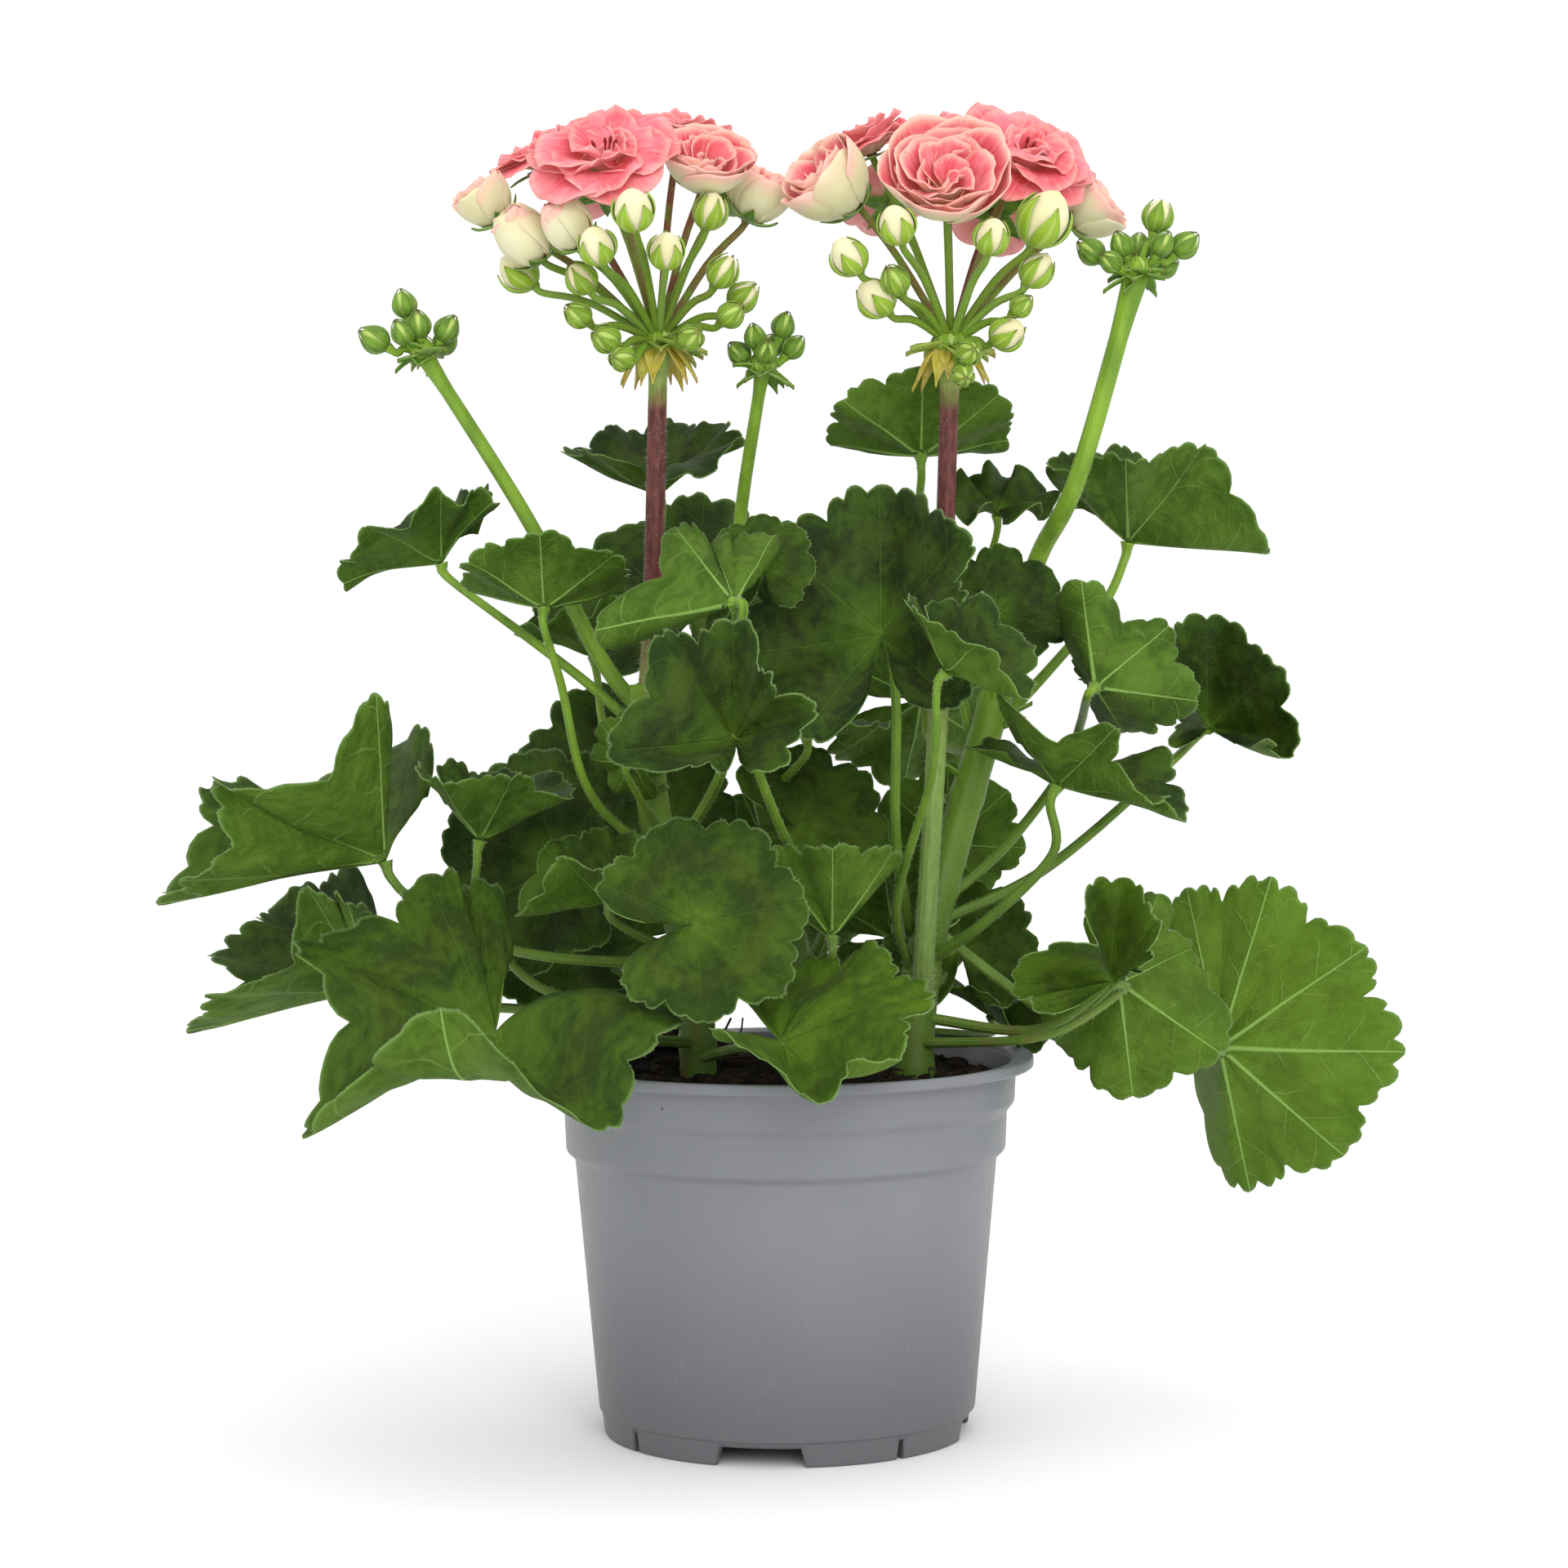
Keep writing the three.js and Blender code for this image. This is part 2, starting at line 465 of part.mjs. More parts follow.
const STEM_FOOT = SOIL_LEVEL - SINK_IN_SOIL;
const STEMS = {
  left: {
    route: [[-22, 0, STEM_FOOT], [-23, 1, 98], [-24, 2, 120], [-32, 4, 150], [-36, 5, 178], [-37, 5, 196]],
    radius: [5, 4],
  },
  middle: {
    route: [[5, 16, STEM_FOOT], [4, 16, 98], [2, 19, 130], [-6, 24, 170], [-10, 23, 196]],
    radius: [4, 3.2],
  },
  right: {
    route: [[34, 5, STEM_FOOT], [34, 5, 98], [37, 6, 125], [45, 8, 155], [54, 10, 185], [58, 10, 200]],
    radius: [5.5, 4],
  },
};

const STALKS = {
  umbelLeft: { route: [[-36, 5, 186], [-34, 1, 216], [-32, 0, 285]], radius: [2.9, 2.4] },
  umbelRight: { route: [[36, 3, 112], [37, -4, 136], [41, 0, 200], [44, 0, 284]], radius: [2.9, 2.4] },
  budLeft: { route: [[-35, 5, 186], [-48, 5, 203], [-67, 2, 240], [-93, 0, 282]], radius: [2.2, 1.8] },
  budMiddle: { route: [[-9, 23, 188], [-12, 20, 230], [-5, 0, 278]], radius: [1.9, 1.6] },
  budRight: {
    route: [[57, 10, 192], [62, 16, 212], [68, 13, 230], [77, -2, 250], [92, -4, 302]],
    radius: [2.5, 2.5],
  },
};

const STEM_STEPS = 6;

function bodyOf({ route, radius }, extra = 0, sides = 6) {
  return barAlong(route, radius[0] + extra, radius[1] + extra, sides, STEM_STEPS);
}

// Small closed shapes of the flower heads

function pointedBud(centre, axis, radius, length, sides = 5) {
  const bud = new THREE.SphereGeometry(1, sides, 3);
  const place = bud.attributes.position;
  for (let i = 0; i < place.count; i += 1) {
    const y = place.getY(i);
    const slim = y > 0 ? 1 - 0.35 * y : 1;
    place.setXYZ(i, place.getX(i) * radius * slim, y * length / 2, place.getZ(i) * radius * slim);
  }
  const turn = new THREE.Quaternion().setFromUnitVectors(new THREE.Vector3(0, 1, 0), axis);
  bud.applyQuaternion(turn);
  bud.translate(centre.x, centre.y, centre.z);
  return solidOf(bud);
}

function bract(hub, direction) {
  const length = 9;
  const leaf = new THREE.ConeGeometry(2.2, length, 4, 1);
  leaf.scale(1, 1, 0.4);
  leaf.translate(0, length / 2, 0);
  const turn = new THREE.Quaternion().setFromUnitVectors(new THREE.Vector3(0, 1, 0), direction);
  leaf.applyQuaternion(turn);
  leaf.translate(hub.x, hub.y, hub.z);
  return solidOf(leaf);
}

// A pedicel leaves the hub steeply and bends over to its flower

function pedicel(hub, end, axis, sides = 3, steps = 2) {
  const middle = hub.clone().lerp(end, 0.55).addScaledVector(UP, 0.06 * hub.distanceTo(end));
  const last = end.clone().addScaledVector(axis, -3);
  return barAlong([hub.toArray(), middle.toArray(), last.toArray(), end.toArray()],
    PEDICEL_RADIUS * 1.2, PEDICEL_RADIUS, sides, steps);
}

// Blooms and buds of the umbels. A bloom has the centre of its open face, its axis, radius,
// petal rows and form; a bud has its centre and radius. A bloom's depth from face to base is
// a share of its radius: flat when open, deep while it still is a cup

const BLOOM_DEPTH = { open: 0.36, cup: 0.5, half: 0.62 };

const UMBEL_LEFT = {
  blooms: [
    { at: [-45.5, -23, 333], axis: [-0.15, -0.65, 0.75], radius: 18.5, rows: 3, form: 'open' },
    { at: [-19, -11, 330.5], axis: [0.2, -0.6, 0.85], radius: 13.5, rows: 3, form: 'cup' },
    { at: [-5.5, 7, 324], axis: [0.5, -0.1, 0.9], radius: 11.2, rows: 2, form: 'half' },
    { at: [-77, -2, 322], axis: [-0.6, -0.2, 0.8], radius: 10, rows: 2, form: 'half' },
    { at: [-65, 8, 336], axis: [-0.5, -0.2, 0.9], radius: 12.5, rows: 2, form: 'open' },
    { at: [-28, 16, 341], axis: [0, 0.2, 1], radius: 15, rows: 2, form: 'open' },
    { at: [-48, 32, 332], axis: [-0.3, 0.6, 0.9], radius: 13.5, rows: 2, form: 'open' },
    { at: [-14, 32, 329], axis: [0.4, 0.5, 0.9], radius: 12, rows: 2, form: 'cup' },
  ],
  buds: [
    [-36.7, -43, 315, 5.2], [-46.3, -34, 307, 4.8], [-29, -30, 306, 4.6], [-51, -20, 300, 4],
    [-18, -18, 317, 4.4], [-15, -14, 302, 4], [-10, -6, 296, 3.8],
    [-23, -18, 285, 3.2], [-45, -16, 285, 3.6],
    [-13, -14, 291, 3.3], [-52, -16, 291, 3.3], [-41, -16, 280, 3.3],
    [-67.5, -14, 313.5, 9], [-55.5, -25, 315.5, 7.8],
    [-68, -4, 303, 5],
  ],
};

const UMBEL_RIGHT = {
  blooms: [
    { at: [42, -23, 325.5], axis: [-0.03, -0.8, 0.6], radius: 18.3, rows: 3, form: 'cup' },
    { at: [12.5, -8, 325.5], axis: [-0.75, -0.42, 0.65], radius: 15, rows: 2, form: 'half' },
    { at: [64.5, 2, 335], axis: [0.35, -0.65, 0.7], radius: 18.3, rows: 3, form: 'open' },
    { at: [82.5, 13, 320], axis: [0.8, -0.2, 0.5], radius: 11, rows: 2, form: 'half' },
    { at: [22, 14, 340], axis: [-0.4, -0.1, 1], radius: 14, rows: 2, form: 'open' },
    { at: [44, 25, 342], axis: [0, 0.3, 1], radius: 13, rows: 2, form: 'open' },
    { at: [28, 37, 328], axis: [-0.3, 0.7, 0.8], radius: 12.5, rows: 2, form: 'open' },
    { at: [58, 34, 323], axis: [0.2, 0.9, 0.4], radius: 12, rows: 2, form: 'open' },
  ],
  buds: [
    [17, -22, 305, 4.8], [53, -31, 309, 4.5], [67, -20, 314.5, 6.9], [65.5, -14, 302, 4.4],
    [24, -16, 295, 5], [29, -20, 299, 3.6], [58, -12, 286, 4.4],
    [48, -16, 281, 3.2], [29, -32, 312, 4.8], [61.6, -12, 293, 2.8], [46.5, -16, 275, 2.8],
  ],
};

function bloomBase(bloom) {
  const axis = vec(bloom.axis).normalize();
  return vec(bloom.at).addScaledVector(axis, -BLOOM_DEPTH[bloom.form] * bloom.radius);
}

function makeUmbel(stalk, umbel) {
  const hub = vec(stalk.route.at(-1));
  const pieces = [bodyOf(stalk), pointedBud(hub, UP, 5.4, 9, 6)];
  const bractCount = 5;
  for (let i = 0; i < bractCount; i += 1) {
    const turn = (i * 360) / bractCount * DEGREE;
    const out = new THREE.Vector3(Math.cos(turn), Math.sin(turn), -0.25).normalize();
    pieces.push(bract(hub, out));
  }
  umbel.blooms.forEach((bloom) => {
    const axis = vec(bloom.axis).normalize();
    const base = bloomBase(bloom).addScaledVector(axis, -SEAT_GAP);
    const calyxHeight = 4;
    const calyx = new THREE.CylinderGeometry(2.8, 1, calyxHeight, 5);
    calyx.translate(0, -calyxHeight / 2, 0);
    calyx.applyQuaternion(new THREE.Quaternion().setFromUnitVectors(new THREE.Vector3(0, 1, 0), axis));
    calyx.translate(base.x, base.y, base.z);
    pieces.push(solidOf(calyx));
    pieces.push(pedicel(hub, base.clone().addScaledVector(axis, -calyxHeight * 0.6), axis));
  });
  umbel.buds.forEach(([x, y, z, radius]) => {
    const centre = new THREE.Vector3(x, y, z);
    const axis = centre.clone().sub(hub).normalize().addScaledVector(UP, 0.3).normalize();
    pieces.push(pointedBud(centre, axis, radius, BUD_LENGTH * radius));
    pieces.push(pedicel(hub, centre.clone().addScaledVector(axis, -0.7 * radius), axis));
  });
  return join(pieces);
}

// Young heads: centre from the hub, and radius, of each green bud

const BUD_HEADS = {
  left: [
    [-5, -1, 13, 3.1], [-12.5, -2, 4, 3.5], [-5, -4, 5.5, 3], [-1, -3, 7.5, 3],
    [6, -1, 6.5, 3.1], [5, 5, 3.5, 3], [-4, 5, 6, 3.2],
  ],
  middle: [
    [5.4, 0, 11, 2.9], [-2, -3, 8, 2.7], [8, 1, 5.5, 2.8], [-6, 0, 4, 2.8], [1, -5, 4, 2.7],
    [2, 5, 6, 2.9],
  ],
  right: [
    [5.5, 0, 14.5, 3.9], [-4.1, -2, 7, 2.8], [6.2, -3, 7, 2.8], [-11.7, 0, 5.5, 3.3],
    [12.4, 0, 7, 3.3], [-7, -4, 2.5, 2.7], [1, 5, 7, 3.2], [8, 4, 2, 2.9],
  ],
};

// A young head: tight green buds on short pedicels over a ruff of broad bracts

function makeBudHead(stalk, buds) {
  const hub = vec(stalk.route.at(-1));
  const pieces = [bodyOf(stalk, 0, 5), pointedBud(hub, UP, 3.6, 7)];
  buds.forEach(([x, y, z, radius]) => {
    const centre = new THREE.Vector3(x, y, z).add(hub);
    const axis = centre.clone().sub(hub).normalize().addScaledVector(UP, 0.3).normalize();
    pieces.push(pointedBud(centre, axis, radius, BUD_LENGTH * radius));
    pieces.push(pedicel(hub, centre.clone().addScaledVector(axis, -0.7 * radius), axis, 3, 1));
  });
  const bractCount = 3;
  for (let i = 0; i < bractCount; i += 1) {
    const turn = (i * 360) / bractCount * DEGREE;
    const out = new THREE.Vector3(Math.cos(turn), Math.sin(turn), 0.1).normalize();
    pieces.push(bract(hub, out));
  }
  return join(pieces);
}

// A double bloom: rows of five notched petals, one cup inside the next, as one closed skin
// that runs out along the back of each row, over its edge and in again along its face

function makeBloom(bloom) {
  const petals = 5;
  const step = (2 * Math.PI) / petals;
  const edgeWidth = PETAL_THICKNESS * Math.SQRT1_2;
  const axis = vec(bloom.axis).normalize();
  const turn = new THREE.Quaternion().setFromUnitVectors(UP, axis);
  const base = bloomBase(bloom);
  const depth = BLOOM_DEPTH[bloom.form] * bloom.radius;
  const points = [];
  const place = (angle, out, rise) => {
    points.push(new THREE.Vector3(Math.cos(angle) * out, Math.sin(angle) * out, rise)
      .applyQuaternion(turn).add(base));
  };
  const layRow = (angles, shape) => {
    const first = points.length;
    angles.forEach((angle, i) => place(angle, ...shape(i)));
    return rowOf(first, angles, angles.length > 1);
  };

  const rows = [layRow([0], () => [0, 0])];
  for (let row = 0; row < bloom.rows; row += 1) {
    const radius = bloom.radius * [1, 0.74, 0.46][row];
    const height = depth * [0.9, 1.25, 1.4][row];
    const start = (row % 2) * (step / 2);
    const middles = Array.from({ length: petals }, (_, i) => start + (i + 0.15) * step);
    const edges = Array.from({ length: 3 * petals }, (_, i) => (
      start + (Math.floor(i / 3) + [0, 0.3, 0.7][i % 3]) * step));
    const edgeOut = (i) => radius * (i % 3 ? 1 : 0.7);
    const edgeRise = (i) => height * (i % 3 ? 1 : 0.8) + 0.1 * radius * Math.sin(i * 1.9 + row);
    rows.push(layRow(middles, () => [radius * 0.5, height * 0.3]));
    rows.push(layRow(edges, (i) => [edgeOut(i), edgeRise(i)]));
    rows.push(layRow(edges, (i) => [edgeOut(i) - edgeWidth, edgeRise(i) + edgeWidth]));
    if (row < bloom.rows - 1) rows.push(layRow(middles, () => [radius * 0.36, height * 0.42]));
  }
  rows.push(layRow([0], () => [0, depth * 0.5]));
  const skin = rows.slice(1).flatMap((row, i) => stitch(rows[i], row));
  return solidOf(closedGeometry(points, skin.map(([a, b, c]) => [a, c, b])));
}

// The plant in its pot

const plant = new THREE.Group();
plant.name = 'potted_zonal_geranium';

function add(name, solid, look) {
  const largest = solid.decompose().sort((a, b) => b.volume() - a.volume())[0];
  const mesh = new THREE.Mesh(geometryOf(largest), new THREE.MeshStandardMaterial(look));
  mesh.name = name;
  plant.add(mesh);
}

const stemClearance = join(Object.values(STEMS).map((stem) => bodyOf(stem, SEAT_GAP)));

add('pot', makePot(), COLOURS.pot);
add('soil', makeSoil().subtract(stemClearance), COLOURS.soil);

const youngLeaves = { left: LEFT_YOUNG_LEAVES, middle: MIDDLE_YOUNG_LEAVES, right: RIGHT_YOUNG_LEAVES };
Object.entries(STEMS).forEach(([side, stem]) => {
  add(`stem_${side}`, join([bodyOf(stem), ...youngLeaves[side].map(makeLeaf)]), COLOURS.stem);
});

add('flower_stalk_left', makeUmbel(STALKS.umbelLeft, UMBEL_LEFT).subtract(stemClearance), COLOURS.stalk);
add('flower_stalk_right', makeUmbel(STALKS.umbelRight, UMBEL_RIGHT).subtract(stemClearance), COLOURS.stalk);
const budStalks = { left: STALKS.budLeft, middle: STALKS.budMiddle, right: STALKS.budRight };
Object.entries(budStalks).forEach(([side, stalk]) => {
  const head = makeBudHead(stalk, BUD_HEADS[side]);
  add(`bud_head_${side}`, head.subtract(stemClearance), COLOURS.bud);
});

const blooms = { left: UMBEL_LEFT.blooms, right: UMBEL_RIGHT.blooms };
Object.entries(blooms).forEach(([side, list]) => {
  list.forEach((bloom, i) => {
    add(`bloom_${side}_${i + 1}`, makeBloom(bloom), bloom.radius > 11 ? COLOURS.petal : COLOURS.paleBloom);
  });
});

const leafSets = { left: LEFT_LEAVES, middle: MIDDLE_LEAVES, right: RIGHT_LEAVES, back: BACK_LEAVES };
Object.entries(leafSets).forEach(([side, list]) => {
  list.forEach((leaf, i) => {
    add(`leaf_${side}_${i + 1}`, makeLeaf(leaf).subtract(stemClearance), COLOURS.leaf);
  });
});

const box = new THREE.Box3().setFromObject(plant);
const middle = box.getCenter(new THREE.Vector3());
plant.children.forEach((mesh) => mesh.geometry.translate(-middle.x, -middle.y, -box.min.z));

export default plant;
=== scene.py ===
"""The looks of a potted zonal geranium: fine leaves, blooms, buds, hairs, pot and soil, each
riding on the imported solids. Shapes are laid out in millimetres from the pot's axis at ground
level, +Z up and the viewer on the -Y side, and go into the shared frame in metres."""

import math
from types import SimpleNamespace

import bmesh
import bpy
import numpy as np
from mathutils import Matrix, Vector


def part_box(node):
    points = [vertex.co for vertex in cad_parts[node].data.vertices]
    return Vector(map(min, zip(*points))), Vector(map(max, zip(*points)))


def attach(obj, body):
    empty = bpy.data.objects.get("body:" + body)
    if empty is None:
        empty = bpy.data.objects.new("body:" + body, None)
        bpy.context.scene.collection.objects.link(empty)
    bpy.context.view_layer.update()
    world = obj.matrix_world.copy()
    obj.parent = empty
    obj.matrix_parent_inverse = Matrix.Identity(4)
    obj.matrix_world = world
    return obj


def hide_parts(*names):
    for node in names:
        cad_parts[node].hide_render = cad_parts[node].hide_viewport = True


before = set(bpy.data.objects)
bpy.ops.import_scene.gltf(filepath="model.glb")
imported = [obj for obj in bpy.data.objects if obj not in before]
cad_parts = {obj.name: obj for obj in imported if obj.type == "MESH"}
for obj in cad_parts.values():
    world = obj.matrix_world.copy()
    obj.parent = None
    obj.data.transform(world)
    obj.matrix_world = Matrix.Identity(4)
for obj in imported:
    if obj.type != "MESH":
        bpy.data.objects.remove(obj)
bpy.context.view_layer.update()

# Driving dimensions, millimetres and degrees

POT_HEIGHT = 99
POT_RIM_RADIUS, POT_RIM_DEPTH = 65, 3
POT_WALL = 1.2
NECK_RADIUS, NECK_HEIGHT = 59.6, 88
COLLAR_RADIUS, COLLAR_HEIGHT = 57.6, 85
SHOULDER_RADIUS, SHOULDER_HEIGHT = 55.3, 72
POT_FOOT_RADIUS = 48
FOOT_RING_HEIGHT, FOOT_RING_WIDTH = 6.5, 2.5
POT_FLOOR_HEIGHT = 5
FOOT_NOTCH_WIDTH, FOOT_NOTCH_HEIGHT = 22, 5
FOOT_SLIT_WIDTH = 2
FOOT_NOTCH_TURN = -8.4
POT_EDGE_ROUNDING = 0.9
SOIL_LEVEL = 92
SOIL_MOUND, SOIL_MOUND_X, SOIL_MOUND_Y, SOIL_MOUND_SPREAD = 8, -30, 38, 500
SOIL_CLUMPS, SOIL_GRAINS, SOIL_FIBRES = 420, 420, 160
SOIL_GAP = 0.3
SINK_IN_SOIL = 22

BLADE_THICKNESS = 0.6
# Leaves above each radius: scallops of a lobe, and points across a lobe and out to the rim
LEAF_GRADES = [(36, 5, 25, 22), (24, 4, 20, 17), (0, 3, 12, 12)]
BLADE_HALF_ANGLE = 168
VEIN_STEP = 48
PETIOLE_RADIUS = 1.25
PETIOLE_NECK = 5
PETAL_THICKNESS = 0.25
SEPAL_THICKNESS = 0.5
BUD_SEPAL_THICKNESS = 0.3
BRACT_THICKNESS = 0.35
PEDICEL_RADIUS = 0.95
BUD_LENGTH = 2.35
LARGEST_BUD = 7
HAIR_RADIUS = 0.035
FIFTH = 2 * math.pi / 5
GOLDEN_TURN = 2.4

CAMERA_DISTANCE = 1000
CAMERA_HEIGHT = 217
CAMERA_PITCH = 2.7
CAMERA_ROLL = -0.3
CAMERA_LENS = 87.9

MM = 0.001
pot_low, pot_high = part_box("pot")
POT_AXIS = np.array([(pot_low.x + pot_high.x) / 2, (pot_low.y + pot_high.y) / 2, 0])
UP = np.array([0.0, 0.0, 1.0])

STEM_FOOT = SOIL_LEVEL - SINK_IN_SOIL

# Leaves of the plant


def leaf(at, aim, size, lift, *way, curl=0, spread=1, cleft=(0,) * 6, ruffle=0.04, waves=9):
    """A leaf: its junction, the heading, rise and roll of its midrib, its radius, how far its
    seven veins lift, and the way of its petiole to the stem. Curl bends the veins, spread
    opens the angles between them, cleft parts the lobes, and ruffle and waves shape the rim."""
    return SimpleNamespace(at=np.array(at, float), aim=aim, size=size, lift=lift, way=way,
                           curl=curl, spread=spread, cleft=cleft, ruffle=ruffle, waves=waves)


HIDDEN_LIFT = [20, 10, 5, 0, 5, 10, 20]
LEAVES = {
    "left": [
        leaf([-103, -14, 151], [184, -10, 0], 57, [36, 20, 32, 0, 6, 30, 58], [-94, -14, 140],
             [-68, -20, 128], [-24, 2, 122], spread=[0.75, 0.6, 0.6, 1, 0.6, 0.42, 0.72],
             cleft=[0, 0, 0, 0.1, 0.05, 0.25]),
        leaf([-108, 4, 117], [188, -12, 0], 50, [40, 32, 20, 0, 10, 42, 35], [-68, 10, 110],
             [-23, 2, 106], spread=[0.62, 0.62, 0.7, 1, 0.7, 0.75, 0.6], cleft=[0, 0, 0.15, 0, 0.2, 0]),
        leaf([-72, -55, 111], [212, 0, 0], 56, [40, 44, 24, -22, -50, -25, 45], [-54, -32, 107],
             [-22, 0, 102], curl=[0, 0, 0, 0, 125, 10, -80], spread=[0.78, 0.95, 1, 1, 0.95, 0.95, 1],
             cleft=[0, 0.12, 0.24, 0, 0, 0.1]),
        leaf([-79, -8, 156], [345, 0, 0], 28, [50, 38, 40, 25, 35, 40, 50], [-79, -4, 136],
             [-62, -2, 116], [-23, 0, 112]),
        leaf([-60, 18, 147], [160, 20, 68], 34, [20, 10, 5, 0, 0, 10, 20], [-44, 8, 138],
             [-28, 3, 134]),
        leaf([-45, -23, 141], [192, -8, 0], 23, [50, 55, 50, 0, 38, 25, 20], [-34, -14, 130],
             [-24, 2, 126]),
        leaf([-22, -58, 138], [0, 12, -76], 28, [20, 20, 10, 0, 0, 0, 10], [-24, -30, 126],
             [-24, 2, 118]),
        leaf([-1, -60, 109], [0, 0, 0], 38, [10, -40, -40, 18, 37, 30, 30], [-10, -30, 104],
             [-22, 0, 98], curl=[0, 50, 80, 0, 0, 0, 0], spread=0.8),
        leaf([-61, -22, 216], [270, 50, 0], 25, [65, 30, 0, 0, 0, 30, 65], [-57, -16, 196],
             [-52, -10, 172], [-43, -2, 159], [-31.5, 4, 153]),
        leaf([-90, 10, 228], [180, 0, 0], 27, [60, 55, 35, 0, 25, 55, 55], [-68, 8, 209], [-50, 7, 195],
             [-36, 5, 182], curl=-20, ruffle=0.1),
        leaf([-51, 28, 203], [200, 0, 0], 22, [50, 50, 40, 20, 30, 50, 50], [-47, 20, 182],
             [-34, 5, 164], ruffle=0.1),
        leaf([-33, 26, 246], [80, 0, 0], 29, [60, 42, 45, 45, 42, 24, 24], [-34, 20, 220],
             [-36, 5, 188], curl=[-100, -20, 0, 0, 0, 0, 0]),
        leaf([-12, -54, 217], [185, -15, -75], 36, [62, 70, 52, 18, 62, 76, 61], [-13, -48, 198],
             [-16, -24, 174], [-31, 4, 148], spread=[0.5, 0.5, 0.55, 1, 1.3, 1, 1.1],
             cleft=[0, 0, 0, 0.3, 0, 0]),
    ],
    "middle": [
        leaf([12, -30, 132], [270, 65, 0], 27, [60, 45, 20, 0, 20, 70, 80], [9, -18, 118], [4, 16, 106],
             spread=0.8),
        leaf([-25, 56, 213], [80, 62, 0], 38, [30, 10, 0, 0, 0, 10, 30], [-18, 48, 192], [-6, 24, 172]),
        leaf([-12, -68, 184], [90, 80, 0], 32, [60, 52, 65, 35, 0, 5, 68], [0, -30, 158],
             [11, -16, 138], [4, 16, 116], spread=[1, 0.85, 0.7, 1, 0.75, 1, 1.1],
             cleft=[0, 0, 0, 0.1, 0.12, 0.35]),
    ],
    "right": [
        leaf([86, -18, 119], [0, -35, 84], 32, [50, 45, 52, 0, 8, 35, 50], [66, -8, 106], [35, 5, 108]),
        leaf([83, -36, 121], [90, 75, 0], 26, [80, 75, 55, 0, 70, 0, 20], [66, -24, 106], [34, 4, 101],
             spread=[0.8, 0.8, 0.8, 1, 1, 0.95, 0.75]),
        leaf([116, 18, 98], [0, -2, 80], 47.5, [15, 12, 0, 0, 5, 15, 70], [101, 12, 95], [84, 10, 100],
             [64, 8, 112], [38, 7, 132], spread=[0.72, 0.78, 0.8, 1, 0.85, 0.78, 0.72], ruffle=0.02),
        leaf([25, -20, 209], [90, 74, 0], 39, [30, 60, 45, 0, 0, -10, 10], [29, -14, 190],
             [29, -6, 156], [33, 6, 130]),
        leaf([37, 25, 256], [270, 55, 0], 28, [70, 25, 0, 0, 0, 25, 70], [38, 30, 234], [50, 12, 180]),
        leaf([57, 20, 240], [90, 0, 0], 17, [30, 30, 45, 50, 45, 30, 30], [54, 26, 222], [56, 22, 204],
             [55, 10, 180], curl=[-60, -40, 0, 0, 0, -40, -60], ruffle=0.2, waves=7),
        leaf([93, 34, 233], [0, 0, 0], 37, [35, 38, 45, -4, 45, 45, 45], [86, 30, 216], [70, 21, 198],
             [54, 10, 182]),
        leaf([40, -62, 200], [330, -15, 0], 23, [50, 40, 30, 0, 25, 62, 45], [37, -44, 174],
             [29, -14, 140], [33, 5, 120]),
        leaf([56, 7, 214], [0, -10, -78], 19, [-30, 80, 30, 0, 0, 0, -10], [57, 4, 204], [54, 9, 184]),
        leaf([80, -16, 195], [0, -10, 84], 29, [75, 0, 30, 20, 50, 85, 85], [78, 6, 185], [74, 16, 172],
             [58, 12, 152], [39, 7, 136], spread=[1, 1.12, 0.95, 1, 1, 1, 1],
             cleft=[0, 0.25, 0, 0, 0, 0]),
        leaf([114, 28, 183], [90, 82, 0], 30, [60, -25, 45, 0, 30, 75, 60], [98, 16, 170], [68, 9, 146],
             [38, 6, 132], curl=[0, 110, 0, 0, 0, 0, 0], spread=[0.8, 1.15, 1, 1, 0.9, 0.8, 0.8]),
        leaf([70, -20, 170], [350, -12, 0], 34, [40, 38, 6, 0, 24, 8, 10], [69, -16, 152],
             [52, -8, 134], [36, 5, 122], spread=[0.95, 0.62, 0.8, 1, 0.9, 1, 1],
             cleft=[0.35, 0.15, 0, 0, 0.1, 0]),
    ],
    "back": [
        leaf([-42, 56, 165], [170, 15, 65], 34, HIDDEN_LIFT, [-30, 36, 148], [-26, 2, 130]),
        leaf([0, 64, 138], [10, 20, 65], 32, HIDDEN_LIFT, [0, 44, 128], [2, 18, 122]),
        leaf([38, 60, 190], [20, 15, 60], 33, HIDDEN_LIFT, [40, 44, 180], [52, 10, 176]),
        leaf([30, 58, 124], [20, 10, 60], 26, HIDDEN_LIFT, [26, 38, 112], [33, 6, 109]),
        leaf([-40, 66, 124], [180, 10, 60], 24, HIDDEN_LIFT, [-28, 40, 110], [-23, 2, 104]),
    ],
}
